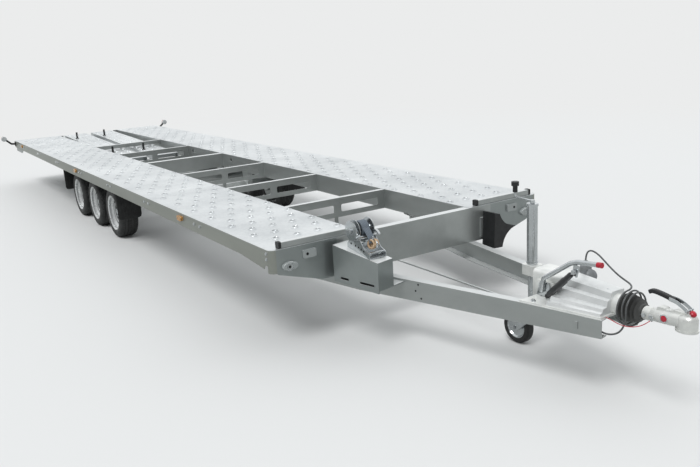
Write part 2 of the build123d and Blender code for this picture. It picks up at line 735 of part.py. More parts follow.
def handbrake_knob():
    """Red cap on the lever's end."""
    return round_bar((10053, handbrake_side - 20, 692), (10080, handbrake_side - 20, 695), 14)


def gas_strut():
    """Black gas spring beside the lever, with a slim rod and two eyes."""
    low, high = (9758, -128, 462), (9925, -128, 630)
    middle = tuple(a + (b - a) * 0.62 for a, b in zip(low, high))
    strut = round_bar(low, middle, 14) + round_bar(middle, high, 5)
    strut += round_bar((high[0], -138, high[2]), (high[0], -116, high[2]), 12)
    return strut + round_bar((low[0], -138, low[2]), (low[0], handbrake_side - 12, low[2]), 14)


plug_place = (9797, 115)
plug_holder = round_bar((*plug_place, 536), (*plug_place, 552), 25, bore=20.3)
plug_holder += block((9775, 9804.5), (137, 141), (436, 552))
save("overrun_housing", overrun_housing() + plug_holder)
save("housing_cover", housing_cover())
save("bellows", bellows())
save("drawtube", drawtube())
save("coupling_head", coupling_head())
save("coupling_handle", coupling_handle())
save("handbrake_lever", handbrake_lever())
save("handbrake_knob", handbrake_knob())
save("gas_strut", gas_strut())


def brake_linkage():
    """Brake rod along the centre line, its compensator and the pull lever under the housing."""
    height = 310
    rod = round_bar((5010, 0, height), (9650, 0, height), 6)
    rod += block((5000, 5020), (-95, 95), (height - 12, height + 12))
    rod += side_slab([(9636, 296), (9664, 296), (9690, 386), (9630, 386)], (-7, 7))
    for place in (crossmember_places[3], crossmember_places[5]):
        rod += block((place - 30, place - 24), (-16, 16), (height - 16, beam_bottom))
    return rod


save("brake_linkage", brake_linkage())


# ---------------------------------------------------------------- jockey wheel
def jockey_tube():
    """Outer tube of the jockey leg with its capped head, crank arm and hub."""
    axis = (jockey_from_rear, jockey_side)
    tube = round_bar((*axis, jockey_tube_bottom), (*axis, jockey_tube_top), jockey_tube_radius,
                     bore=jockey_leg_radius + running_gap)
    cap = round_bar((*axis, jockey_tube_top), (*axis, jockey_tube_top + 14), jockey_tube_radius + 4)
    head = round_bar((*axis, jockey_tube_top + 14), (*axis, jockey_tube_top + 34), 14)
    crank_tip = (jockey_from_rear - 132, jockey_side, jockey_tube_top + 36)
    crank = round_bar((jockey_from_rear, jockey_side, jockey_tube_top + 26), crank_tip, 6)
    return tube + cap + head + crank + round_bar(crank_tip, (*crank_tip[:2], jockey_tube_top + 60), 6)


def jockey_knob():
    """Turning knob on the crank."""
    base = (jockey_from_rear - 132, jockey_side, jockey_tube_top + 60.3)
    knob = round_bar(base, (*base[:2], jockey_tube_top + 120), 14)
    return knob + round_bar((*base[:2], jockey_tube_top + 98), (*base[:2], jockey_tube_top + 122), 22)


def jockey_clamp():
    """Split clamp block around the outer tube, bolted to the housing's lug."""
    clamp = block((jockey_from_rear - 46, jockey_from_rear + 50), (jockey_side - 42, jockey_side + 42),
                  (jockey_tube_bottom + 10, jockey_tube_bottom + 70))
    clamp = fillet(clamp.edges().filter_by(Axis.Z), 16)
    arm = block((jockey_from_rear + 40, housing_rear), (jockey_side - 24, jockey_side + 24),
                (jockey_tube_bottom + 14, jockey_tube_bottom + 66))
    clamp += arm
    clamp -= round_bar((jockey_from_rear, jockey_side, jockey_tube_bottom), (jockey_from_rear, jockey_side,
                       jockey_tube_bottom + 90), jockey_tube_radius)
    return clamp


def jockey_leg():
    """Inner tube that the crank winds in and out."""
    axis = (jockey_from_rear, jockey_side)
    return round_bar((*axis, jockey_leg_bottom), (*axis, jockey_leg_top), jockey_leg_radius, bore=16)


def jockey_fork():
    """Castor fork with a swivel pin up inside the leg and the wheel's pin across."""
    place, side = jockey_from_rear, jockey_side
    cheek = jockey_wheel_width / 2 + 6
    wheel_place = place - jockey_trail
    crown = block((place - 46, place + 30), (side - cheek - 5, side + cheek + 5),
                  (jockey_leg_bottom - 14, jockey_leg_bottom - 5.5))
    fork = crown
    for near in (side - cheek - 5, side + cheek):
        outline = [(place - 46, jockey_leg_bottom - 5.5), (place + 30, jockey_leg_bottom - 5.5),
                   (place + 24, jockey_leg_bottom - 50), (wheel_place + 20, jockey_wheel_radius - 18),
                   (wheel_place - 20, jockey_wheel_radius - 18), (wheel_place - 24, jockey_wheel_radius + 20)]
        fork += side_slab(outline, (near, near + 5))
    fork += round_bar((place, side, jockey_leg_bottom - 6), (place, side, jockey_leg_bottom + 60), 15.9)
    return fork + round_bar((wheel_place, side - cheek - 8, jockey_wheel_radius),
                            (wheel_place, side + cheek + 8, jockey_wheel_radius), jockey_pin_radius)


def jockey_wheel():
    """Pressed hub and solid rubber tyre of the jockey wheel."""
    centre = (jockey_from_rear - jockey_trail, jockey_wheel_radius)
    half = jockey_wheel_width / 2
    profile = [(jockey_pin_radius + running_gap, -half), (22, -half), (24, -half + 16), (58, -half + 14),
               (66, -half + 4), (70, -half + 4), (70, half - 4), (66, half - 4), (58, half - 14), (24, half - 16),
               (22, half), (jockey_pin_radius + running_gap, half)]
    rubber = [(70.3, -half + 2), (92, -half), (jockey_wheel_radius, -half + 12), (jockey_wheel_radius, half - 12),
              (92, half), (70.3, half - 2)]
    seat = Pos(from_rear(centre[0]), jockey_side, centre[1])
    return [seat * revolve(Polygon(*shape, align=None), Axis.Y) for shape in (profile, rubber)]


save("jockey_tube", jockey_tube())
save("jockey_knob", jockey_knob())
save("jockey_clamp", jockey_clamp())
save("jockey_leg", jockey_leg())
save("jockey_fork", jockey_fork())
hub, rubber = jockey_wheel()
save("jockey_hub", hub)
save("jockey_tyre", rubber)


# ---------------------------------------------------------------- cables
cable_radius = 4.5
coil_radius = 84             # middle of the cable's turns round the bellows
coil_step = 45               # degrees between the coil's route points
coil_points = 20
coil_front = 10204
coil_advance = 3.2           # towards the rear for each route point
cord_radius = 2


def cord_path(places):
    """Straight runs with tangent arcs; each arc takes 0.45 of its shorter run."""
    points = [Vector(from_rear(x), y, z) for x, y, z in places]
    runs = [after - before for before, after in zip(points, points[1:])]
    radii = []
    for before, after in zip(runs, runs[1:]):
        half_turn = radians(before.get_angle(after)) / 2
        radii.append(0.45 * min(before.length, after.length) / tan(half_turn))
    path = FilletPolyline(*points, radius=radii)
    print("smallest radius", round(min(radii), 1), "length", round(path.length, 1))
    return path


def cord_tube(places, radius):
    """Round cord along a route."""
    path = cord_path(places)
    tube = sweep(Plane(path @ 0, z_dir=path % 0) * Circle(radius), path=path)
    print("volume against section times length", round(tube.volume / (pi * radius ** 2 * path.length), 4))
    return tube


def coil_place(number):
    """Route point of the loose turns round the bellows, from the front bottom to the rear top."""
    turn = radians(202.5 - coil_step * number)
    reach = coil_radius / cos(radians(coil_step / 2)) * (1 + 0.035 * sin(1.3 * number))
    return (coil_front - coil_advance * number, reach * cos(turn), draw_height + reach * sin(turn))


cable_start = [cable_exit, (10062, -127, 374), (10128, -116, 356), (10188, -102, 382)]
cable_end = [(10112, 70, 568), (10052, 74, 586), (9996, 84, 608), (9938, 95, 638), (9884, 104, 668),
             (9832, 111, 678), (9800, 114, 654), (9797, 115, 612.8)]
cable_places = [*cable_start, *[coil_place(number) for number in range(coil_points)], *cable_end]
save("electric_cable", cord_tube(cable_places, cable_radius))

plug = round_bar((*plug_place, 530), (*plug_place, 596), 20)
plug += round_bar((*plug_place, 596), (*plug_place, 612), 11)
save("electric_plug", plug)

breakaway_places = [(10101, -98, 435), (10136, -107, 436), (10172, -113, 431), (10212, -108, 425),
                    (10252, -90, 427), (10286, -64, 441), (10304.8, -46, 463)]
save("breakaway_cord", cord_tube(breakaway_places, cord_radius))
hook_ring = Plane((from_rear(10310), -43, 474), z_dir=(0.5, 0.85, 0)) * Circle(12)
hook_start = Plane(hook_ring.edges()[0] @ 0, z_dir=hook_ring.edges()[0] % 0)
save("breakaway_hook", sweep(hook_start * Circle(2), path=hook_ring.edges()[0]))
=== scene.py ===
"""Looks of the car transporter trailer: finishes for its frame parts, and the fittings around them.

Metres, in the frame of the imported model: +X towards the coupling, +Y to the left, +Z up.
Run as a script it makes every piece in order; the classes are laid out as an add-on.
"""
from math import cos, pi, radians, sin

import bpy
import numpy as np
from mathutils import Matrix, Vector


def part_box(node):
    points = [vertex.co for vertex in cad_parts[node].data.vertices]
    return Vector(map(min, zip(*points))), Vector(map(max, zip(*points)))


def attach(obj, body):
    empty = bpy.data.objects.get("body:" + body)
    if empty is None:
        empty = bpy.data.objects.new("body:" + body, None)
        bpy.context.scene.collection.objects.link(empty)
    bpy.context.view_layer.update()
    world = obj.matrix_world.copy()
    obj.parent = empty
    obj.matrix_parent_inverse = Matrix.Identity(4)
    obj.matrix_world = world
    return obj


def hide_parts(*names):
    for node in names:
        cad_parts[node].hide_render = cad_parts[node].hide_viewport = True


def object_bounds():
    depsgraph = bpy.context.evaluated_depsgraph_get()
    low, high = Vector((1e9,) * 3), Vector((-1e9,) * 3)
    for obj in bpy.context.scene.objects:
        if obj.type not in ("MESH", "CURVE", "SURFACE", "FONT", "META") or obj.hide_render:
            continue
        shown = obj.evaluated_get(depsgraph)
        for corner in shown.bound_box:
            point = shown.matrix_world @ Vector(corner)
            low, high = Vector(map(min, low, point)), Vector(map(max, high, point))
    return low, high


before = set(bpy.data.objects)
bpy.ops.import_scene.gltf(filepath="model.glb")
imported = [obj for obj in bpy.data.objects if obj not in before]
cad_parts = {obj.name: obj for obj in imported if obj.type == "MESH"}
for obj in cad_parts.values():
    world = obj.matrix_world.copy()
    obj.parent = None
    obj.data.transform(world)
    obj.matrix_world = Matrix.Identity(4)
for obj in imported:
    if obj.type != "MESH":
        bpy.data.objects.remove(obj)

bl_info = {
    "name": "Car transporter trailer",
    "version": (1, 0, 0),
    "blender": (4, 5, 0),
    "location": "View3D > Sidebar > Trailer",
    "description": "Finishes and fittings of a triple-axle car transporter trailer",
    "category": "Add Mesh",
}

CAD_BOX = [list(corner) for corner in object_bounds()]
REAR_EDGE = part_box("runways")[0][0]
DECK_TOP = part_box("runways")[1][2]
DECK_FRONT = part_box("runways")[1][0]
RAIL_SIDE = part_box("side_rails")[1][1]
RAIL_LOW = DECK_TOP - 0.101

BACKDROP = "#ebecec"
SKY = "#f6f8f9"
SKY_STRENGTH = (0.42, 1.10)         # on its dull and on its bright side
FLOOR_REACH = 70.0
FLOOR_UNSEEN = "#bdbfbe"            # what the metal mirrors in place of the floor's own colour
FLOOR_FADE = (6.0, 13.0)            # distances over which the seen floor turns into the backdrop
KEY_FROM = (0.35, -0.55, 1.0)       # direction of the sun
KEY_WIDTH = radians(24)
BRIGHT_SIDE = (-0.62, 0.40, 0.68)   # the side of the sky that the zinc's gloss comes from
CAMERA_PLACE = (7.0212, -2.9087, 1.7854)
CAMERA_TURN = (radians(75.589), radians(3.2388), radians(56.8834))
CAMERA_LENS = 37.97

WHEELS = [f"{row}_{side}" for row in ("rear", "middle", "front") for side in ("left", "right")]


# ------------------------------------------------------------------ shapes
def unit(vectors):
    """Each vector divided by its length."""
    vectors = np.asarray(vectors, float)
    return vectors / np.linalg.norm(vectors, axis=-1, keepdims=True)


def cells(rows, columns, close_rows=False):
    """Two triangles for each cell of a grid of points whose columns wrap round."""
    row = np.arange(rows if close_rows else rows - 1)[:, None]
    column = np.arange(columns)[None, :]
    next_row, next_column = (row + 1) % rows, (column + 1) % columns
    a, b = row * columns + column, row * columns + next_column
    c, d = next_row * columns + next_column, next_row * columns + column
    return np.concatenate([np.stack([a, b, c], -1).reshape(-1, 3), np.stack([a, c, d], -1).reshape(-1, 3)])


def outward(points, triangles):
    """Triangles turned so that the enclosed volume, a sixth of the sum of a . (b x c), is positive."""
    a, b, c = (points[triangles[:, k]] for k in range(3))
    return triangles if np.einsum("ij,ij->", a, np.cross(b, c)) > 0 else triangles[:, ::-1]


def capped(rings):
    """Closed skin over a stack of rings: cells between them and a fan to the middle of each end ring."""
    rows, columns = rings.shape[:2]
    points = np.concatenate([rings.reshape(-1, 3), rings[[0, -1]].mean(1)])
    column = np.arange(columns)
    onward = (column + 1) % columns
    last = (rows - 1) * columns
    first_fan = np.stack([onward, column, np.full(columns, rows * columns)], -1)
    last_fan = np.stack([last + column, last + onward, np.full(columns, rows * columns + 1)], -1)
    triangles = np.concatenate([cells(rows, columns), first_fan, last_fan])
    return points, outward(points - points.mean(0), triangles)


def sides_of(axis):
    """Two unit directions square to an axis and to each other."""
    axis = unit(axis)
    side = unit(np.cross(axis, (0, 0, 1) if abs(axis[2]) < 0.9 else (1, 0, 0)))
    return side, np.cross(axis, side)


def lathe(profile, centre, axis, turns=24, teeth=0, depth=0.0):
    """Turned shape: centre + h * axis + r * (cos a * side + sin a * up) for each (r, h) of the profile.

    With teeth, r grows by depth over half of each tooth's angle.
    """
    profile = np.asarray(profile, float)
    side, up = sides_of(axis)
    angle = np.linspace(0, 2 * pi, turns, endpoint=False)
    rim = profile[:, :1] > 0.6 * profile[:, 0].max()
    radius = profile[:, :1] + depth * (np.cos(teeth * angle) > 0.1)[None, :] * rim
    round_trip = np.cos(angle)[:, None] * side + np.sin(angle)[:, None] * up
    rings = np.asarray(centre, float) + profile[:, None, 1:] * unit(axis) + radius[:, :, None] * round_trip
    return capped(rings)


def ring(section, centre, axis, turns=32):
    """Turned ring: the closed (r, h) section carried once round the axis."""
    section = np.asarray(section, float)
    side, up = sides_of(axis)
    angle = np.linspace(0, 2 * pi, turns, endpoint=False)
    round_trip = np.cos(angle)[:, None] * side + np.sin(angle)[:, None] * up
    points = np.asarray(centre, float) + section[:, None, 1:] * unit(axis) + section[:, None, :1] * round_trip
    points = points.reshape(-1, 3)
    return points, outward(points - points.mean(0), cells(len(section), turns, close_rows=True))


def rounded(points, rounds=3, closed=False):
    """Path with cut corners: each round keeps points at a quarter and three quarters of every run."""
    points = np.asarray(points, float)
    for _ in range(rounds):
        after = np.roll(points, -1, axis=0) if closed else points[1:]
        before = points if closed else points[:-1]
        cut = np.stack([before * 0.75 + after * 0.25, before * 0.25 + after * 0.75], 1).reshape(-1, points.shape[1])
        points = cut if closed else np.concatenate([points[:1], cut, points[-1:]])
    return points


def bar(path, width, height=None, up=(0, 0, 1), turns=12, square=1.0):
    """Bar along a path: point + width * c(a) * side + height * s(a) * rise, with c and s cosine and sine.

    square below 1 raises cosine and sine to that power, which squares the section's corners.
    """
    path = np.asarray(path, float)
    forward = unit(np.gradient(path, axis=0))
    side = unit(np.cross(forward, up))
    rise = np.cross(side, forward)
    angle = np.linspace(0, 2 * pi, turns, endpoint=False) + pi / turns
    across, upright = (np.sign(f) * np.abs(f) ** square for f in (np.cos(angle), np.sin(angle)))
    width = np.broadcast_to(np.asarray(width, float), len(path))[:, None, None]
    height = width if height is None else np.broadcast_to(np.asarray(height, float), len(path))[:, None, None]
    sideways = width * across[None, :, None] * side[:, None]
    return capped(path[:, None] + sideways + height * upright[None, :, None] * rise[:, None])


def plate(outline, origin, right, up, thickness, edge=0.001):
    """Flat plate from an outline, with a small chamfer: four copies of the outline, the outer two drawn in."""
    outline = np.asarray(outline, float)
    middle = outline.mean(0)
    reach = np.linalg.norm(outline - middle, axis=1, keepdims=True)
    inset = middle + (outline - middle) * (1 - edge / reach)
    right, up = unit(right), unit(up)
    normal = np.cross(right, up)
    layers = [(inset, 0), (outline, edge), (outline, thickness - edge), (inset, thickness)]
    return capped(np.stack([np.asarray(origin, float) + shape @ np.stack([right, up]) + height * normal
                            for shape, height in layers]))


def scattered(shape, places):
    """One shape repeated at many places: its points and triangles, shifted and joined."""
    points, triangles = shape
    places = np.asarray(places, float)
    faces = triangles[None] + len(points) * np.arange(len(places))[:, None, None]
    return (places[:, None] + points[None]).reshape(-1, 3), faces.reshape(-1, 3)


def hexagon_bolt(place, axis, across=0.019, washer=True):
    """Hexagon head with a chamfered top on a round washer."""
    radius = across / 2 / cos(pi / 6)
    head = lathe([(radius, 0), (radius, 0.5 * radius), (0.9 * radius, 0.62 * radius), (0.3 * radius, 0.62 * radius)],
                 np.asarray(place) + 0.0025 * unit(axis), axis, turns=6)
    disc = lathe([(radius * 1.25, 0), (radius * 1.25, 0.002), (radius * 1.15, 0.0028)], place, axis, turns=18)
    return [head, disc] if washer else [head]


def piece(name, shapes, finish, body="chassis", stands_for=(), crease=38):
    """One object from closed shapes in one finish, riding on a body."""
    starts = np.cumsum([0] + [len(points) for points, _ in shapes])
    points = np.concatenate([points for points, _ in shapes])
    triangles = np.concatenate([faces + start for (_, faces), start in zip(shapes, starts)])
    mesh = bpy.data.meshes.new(name)
    mesh.from_pydata(points, [], triangles)
    mesh.shade_smooth()
    mesh.set_sharp_from_angle(angle=radians(crease))
    mesh.materials.append(bpy.data.materials[finish])
    made = bpy.data.objects.new(name, mesh)
    bpy.context.scene.collection.objects.link(made)
    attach(made, body)
    if stands_for:
        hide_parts(*stands_for)
    return made


def middle_of(node):
    """Middle of a part's box."""
    low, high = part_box(node)
    return (np.asarray(low) + np.asarray(high)) / 2


# ------------------------------------------------------------------ finishes
def linear(code, alpha=1.0):
    """Linear colour of an sRGB hex code: v / 12.92 below 0.04045, else ((v + 0.055) / 1.055) ** 2.4."""
    values = [int(code.lstrip("#")[k:k + 2], 16) / 255 for k in (0, 2, 4)]
    return (*[v / 12.92 if v < 0.04045 else ((v + 0.055) / 1.055) ** 2.4 for v in values], alpha)


def add(tree, kind, inputs=None, **settings):
    """Adds one shader node of a kind: settings are its properties, inputs are socket values or links."""
    made = tree.nodes.new("ShaderNode" + kind)
    for key, value in settings.items():
        setattr(made, key, value)
    for key, value in (inputs or {}).items():
        if isinstance(value, bpy.types.NodeSocket):
            tree.links.new(value, made.inputs[key])
        else:
            made.inputs[key].default_value = value
    return made


def blend(tree, share, below, above):
    """Colour between two others, by a share from 0 to 1."""
    return add(tree, "Mix", {0: share, 6: below, 7: above}, data_type="RGBA").outputs[2]


def ramp(tree, value, start, end, low=0.0, high=1.0, **settings):
    """Value that goes from low to high while another goes from start to end."""
    return add(tree, "MapRange", {"Value": value, "From Min": start, "From Max": end, "To Min": low,
                                  "To Max": high}, **settings).outputs[0]


def new_finish(name):
    """Empty material with its output; returns the material, its tree and the object coordinates."""
    finish = bpy.data.materials.get(name)
    if finish:
        bpy.data.materials.remove(finish)
    finish = bpy.data.materials.new(name)
    finish.use_nodes = True
    finish.node_tree.nodes.clear()
    return finish, finish.node_tree, add(finish.node_tree, "TexCoord").outputs["Object"]


def closed_finish(finish, inputs):
    """The material with a Principled shader of these inputs on its output."""
    shader = add(finish.node_tree, "BsdfPrincipled", inputs)
    add(finish.node_tree, "OutputMaterial", {"Surface": shader.outputs[0]})
    return finish


def surfaced(name, dark, light, roughness, metallic, patch, grain, bump, stretch=(1, 1, 1), cells_size=0.0,
             fixed=None, painted_recess_shade=None, painted_top_light=None):
    """Principled surface whose colour and roughness wander between two values.

    patch is the size of the colour's patches, grain the size of the fine relief and bump its height, all in
    metres; with cells_size, flat random cells of that size are added to the patches.  painted_recess_shade is
    painted shade: a dark colour and the two distances from the middle plane y = 0 between which it gives way to
    the surface's own; painted_top_light is painted light: the paler, less metallic colour of the faces that
    look up, standing in for the bright sky that they reflect.
    """
    finish, tree, place = new_finish(name)
    mapped = add(tree, "Mapping", {"Vector": place, "Scale": stretch}).outputs[0]
    cloud = add(tree, "TexNoise", {"Vector": mapped, "Scale": 1 / patch, "Detail": 5.0, "Roughness": 0.6})
    share = ramp(tree, cloud.outputs["Fac"], 0.3, 0.7)
    if cells_size:
        crystal = add(tree, "TexVoronoi", {"Vector": place, "Scale": 1 / cells_size}).outputs["Color"]
        grey = add(tree, "SeparateColor", {"Color": crystal}).outputs[0]
        share = add(tree, "Mix", {0: 0.22, 2: share, 3: grey}).outputs[0]
    colour = blend(tree, share, linear(dark), linear(light))
    # painted shade: nearer the middle plane than the first distance the colour is the dark one, fading to the
    # surface's own by the second; on the wheels this darkens their dished middle
    if painted_recess_shade:
        across = add(tree, "SeparateXYZ", {"Vector": place}).outputs[1]
        across = add(tree, "Math", {0: across}, operation="ABSOLUTE").outputs[0]
        colour = blend(tree, ramp(tree, across, painted_recess_shade[1], painted_recess_shade[2]), linear(painted_recess_shade[0]), colour)
    # painted light: faces that look up turn paler and less metallic, standing in for the bright sky they reflect
    if painted_top_light:
        normal = add(tree, "NewGeometry").outputs["Normal"]
        rise = add(tree, "SeparateXYZ", {"Vector": normal}).outputs[2]
        top_light_share = ramp(tree, rise, 0.6, 0.9)
        colour = blend(tree, top_light_share, colour, linear(painted_top_light))
        metallic = ramp(tree, top_light_share, 0, 1, metallic, 0.35)
    rough = ramp(tree, share, 0, 1, roughness[1], roughness[0])
    fine = add(tree, "TexNoise", {"Vector": place, "Scale": 1 / grain, "Detail": 3.0}).outputs["Fac"]
    relief = add(tree, "Bump", {"Height": fine, "Distance": bump, "Strength": 0.6}).outputs[0]
    return closed_finish(finish, {"Base Color": colour, "Roughness": rough, "Metallic": metallic,
                                  "Normal": relief, **(fixed or {})})


def lens(name, code, flute, back=None, split=0.0):
    """Moulded polycarbonate lens: glossy, with upright flutes; back is the colour behind x = split."""
    finish, tree, place = new_finish(name)
    wave = add(tree, "TexWave", {"Vector": place, "Scale": 1 / flute / 2, "Distortion": 0.0},
               bands_direction="Y").outputs["Fac"]
    relief = add(tree, "Bump", {"Height": wave, "Distance": 0.0012, "Strength": 0.8}).outputs[0]
    inputs = {"Roughness": 0.14, "IOR": 1.58, "Coat Weight": 0.5, "Normal": relief, "Base Color": linear(code)}
    if back:
        forward = add(tree, "SeparateXYZ", {"Vector": place}).outputs[0]
        ahead = add(tree, "Math", {0: forward, 1: split}, operation="GREATER_THAN").outputs[0]
        inputs["Base Color"] = blend(tree, ahead, linear(back), linear(code))
    return closed_finish(finish, inputs)


def woven_strap(name, dark, light, thread):
    """Polyester webbing: two crossed waves a thread apart give the weave's ribs."""
    finish, tree, place = new_finish(name)
    slanted, across = (add(tree, "TexWave", {"Vector": place, "Scale": 1 / thread / 6},
                           bands_direction=way).outputs["Fac"] for way in ("DIAGONAL", "Y"))
    weave = add(tree, "Math", {0: slanted, 1: across}, operation="MULTIPLY").outputs[0]
    colour = blend(tree, weave, linear(dark), linear(light))
    relief = add(tree, "Bump", {"Height": weave, "Distance": 0.0006, "Strength": 0.7}).outputs[0]
    return closed_finish(finish, {"Base Color": colour, "Roughness": 0.85, "Normal": relief})


def make_finishes(colours):
    """All the trailer's materials, by name."""
    made = [
        # Hot-dip galvanised sheet: bright zinc frozen into faint spangles about 15 mm wide
        surfaced("galvanised sheet", colours.sheet_shade, colours.sheet_bright, (0.30, 0.40), 0.75,
                 0.5, 0.004, 0.00008, cells_size=0.015),
        # Batch galvanised sections: smoother and duller, with long soft drain streaks, and painted light on the faces
        # that look up
        surfaced("galvanised section", "#a5a9a8", "#b7bbba", (0.32, 0.40), 0.72,
                 0.30, 0.003, 0.00005, (0.25, 1, 1), painted_top_light="#d6d9d9"),
        surfaced("galvanised rail", "#8d908a", "#a1a49d", (0.34, 0.42), 0.7, 0.6, 0.003, 0.00005, (0.2, 1, 1)),
        # Galvanised folded plate: a darker copy of the zinc as painted shade on its upright faces, and painted light
        # on the faces that look up
        surfaced("galvanised front", "#8f9595", "#a3a9a8", (0.28, 0.36), 0.74,
                 0.6, 0.003, 0.00005, painted_top_light="#dfe2e2"),
        # Electroplated zinc: smooth and bright, faintly blue
        surfaced("plated steel", "#b9bdbf", "#cdd1d3", (0.18, 0.28), 0.92, 0.10, 0.002, 0.00004),
        # Zinc-coated casting: satin with the mould's sandy skin
        surfaced("zinc casting", "#cfd1cf", "#e9eae6", (0.26, 0.40), 0.5, 0.06, 0.0035, 0.0003),
        surfaced("housing zinc", "#dddfdd", "#f1f2ef", (0.28, 0.42), 0.4, 0.06, 0.0045, 0.0003),
        # Pressed and galvanised thin sheet: pale, with shallow waves
        surfaced("pressed cover", "#d6d9d9", "#eef0f0", (0.30, 0.42), 0.45, 0.20, 0.025, 0.00010),
        # Silver enamel on the wheels, with painted shade in their dished middle
        surfaced("silver wheel paint", "#cfd1d2", "#e2e4e4", (0.24, 0.32), 0.6, 0.10, 0.002, 0.00004,
                 painted_recess_shade=("#3f4243", 0.938, 0.9495)),
        # Black enamel on steel: smooth, with a thin clear gloss
        surfaced("black paint", "#1c1d1f", "#2b2d2f", (0.26, 0.38), 0.0, 0.05, 0.002, 0.0001,
                 fixed={"Coat Weight": 0.25}),
        # Moulded polypropylene: matt with a fine leather-like grain
        surfaced("moulded black", "#151617", "#242527", (0.40, 0.55), 0.0, 0.05, 0.0016, 0.0002),
        surfaced("grey plastic", "#6b6e6f", "#83878a", (0.36, 0.48), 0.0, 0.03, 0.001, 0.0001),
        surfaced("red plastic", "#a5142a", "#c22136", (0.25, 0.4), 0.0, 0.03, 0.001, 0.00006),
        # Vulcanised rubber: matt black, greyer where it is dusty
        surfaced("rubber", "#191a1a", "#2a2b2b", (0.45, 0.62), 0.0, 0.05, 0.002, 0.0002),
        surfaced("bellows rubber", "#343534", "#4a4b4a", (0.40, 0.55), 0.0, 0.05, 0.002, 0.0002),
        surfaced("tyre rubber", "#2d2e2e", "#414242", (0.55, 0.72), 0.0, 0.09, 0.0025, 0.0002),
        # Extruded PVC: smooth and dark grey
        surfaced("cable sheath", "#47494a", "#5f6162", (0.30, 0.42), 0.0, 0.03, 0.001, 0.00004),
        # Near-black, painted shade: stands in for the dark inside holes and slots; the lamp screws use it too
        surfaced("dark gap", "#0b0c0c", "#151616", (0.7, 0.9), 0.0, 0.05, 0.002, 0.0001),
        lens("lamp glass", "#a7adad", 0.006),
        lens("amber lens", "#bb822c", 0.004),
        lens("red lens", "#a31219", 0.006),
        lens("outline lens", "#c9cdce", 0.005, "#a31219", REAR_EDGE + 0.045),
        woven_strap("strap webbing", "#59636d", "#8d969f", 0.0025),
        woven_strap("strap loop", "#ad9274", "#dcc5a8", 0.0030),
    ]
    return {finish.name: finish for finish in made}


PART_FINISHES = {
    "galvanised sheet": ["runways", "loading_ramps"],
    "galvanised section": ["main_beams", "crossmembers", "outriggers", "wheel_stops", "rear_light_board",
                           "drawbar_arms", "axle_tubes", "swing_arms", "brake_linkage", "front_beam"],
    "galvanised rail": ["side_rails"],
    "galvanised front": ["front_fascias", "winch_console"],
    "plated steel": ["drawtube", "jockey_tube", "jockey_leg", "jockey_fork", "handbrake_lever", "jockey_hub",
                     "winch_drum", "winch_frame", "breakaway_hook"],
    "zinc casting": ["coupling_head"],
    "housing zinc": ["overrun_housing", "jockey_clamp"],
    "pressed cover": ["housing_cover"],
    "silver wheel paint": [f"{wheel}_rim" for wheel in WHEELS],
    "black paint": ["gas_strut"],
    "moulded black": ["wheel_stop_caps", "mudflaps", "wheel_chock", "coupling_handle", "jockey_knob",
                      "ramp_clamps"],
    "grey plastic": ["electric_plug"],
    "rubber": ["outline_lamp_stalks", "jockey_tyre"],
    "bellows rubber": ["bellows"],
    "tyre rubber": [f"{wheel}_tyre" for wheel in WHEELS],
    "cable sheath": ["electric_cable"],
    "red plastic": ["handbrake_knob", "breakaway_cord"],
    "red lens": ["rear_lamps"],
    "lamp glass": ["front_lamps"],
    "outline lens": ["outline_lamps"],
    "amber lens": ["side_markers"],
    "strap webbing": ["winch_strap"],
}


# ------------------------------------------------------------------ settings
class TrailerColours(bpy.types.PropertyGroup):
    """Colours that a user may change."""
    sheet_bright: bpy.props.StringProperty(name="Bright sheet", description="Lightest zinc of the runways",
                                           default="#e0e3e4")
    sheet_shade: bpy.props.StringProperty(name="Shaded sheet", description="Darkest zinc of the runways",
                                          default="#bfc3c5")
    floor: bpy.props.StringProperty(name="Floor", description="Colour of the studio floor", default="#dcdddd")


def length(name, description, default, least):
    """Setting that is a length in metres."""
    return bpy.props.FloatProperty(name=name, description=description, default=default, min=least, unit="LENGTH")


class TrailerSizes(bpy.types.PropertyGroup):
    """Sizes that a user may change."""
    dimple_pitch: length("Dimple pitch", "Between rows of grip dimples", 0.169, 0.1)
    dimple_gap: length("Dimple spacing", "Between dimples of one row", 0.151, 0.1)
    dimple_radius: length("Dimple radius", "Outer radius of a grip dimple", 0.031, 0.01)
    groove_depth: length("Groove depth", "Depth of the tyres' grooves", 0.006, 0.0)
    key_light: bpy.props.FloatProperty(name="Key light", description="Strength of the sun", default=1.5)


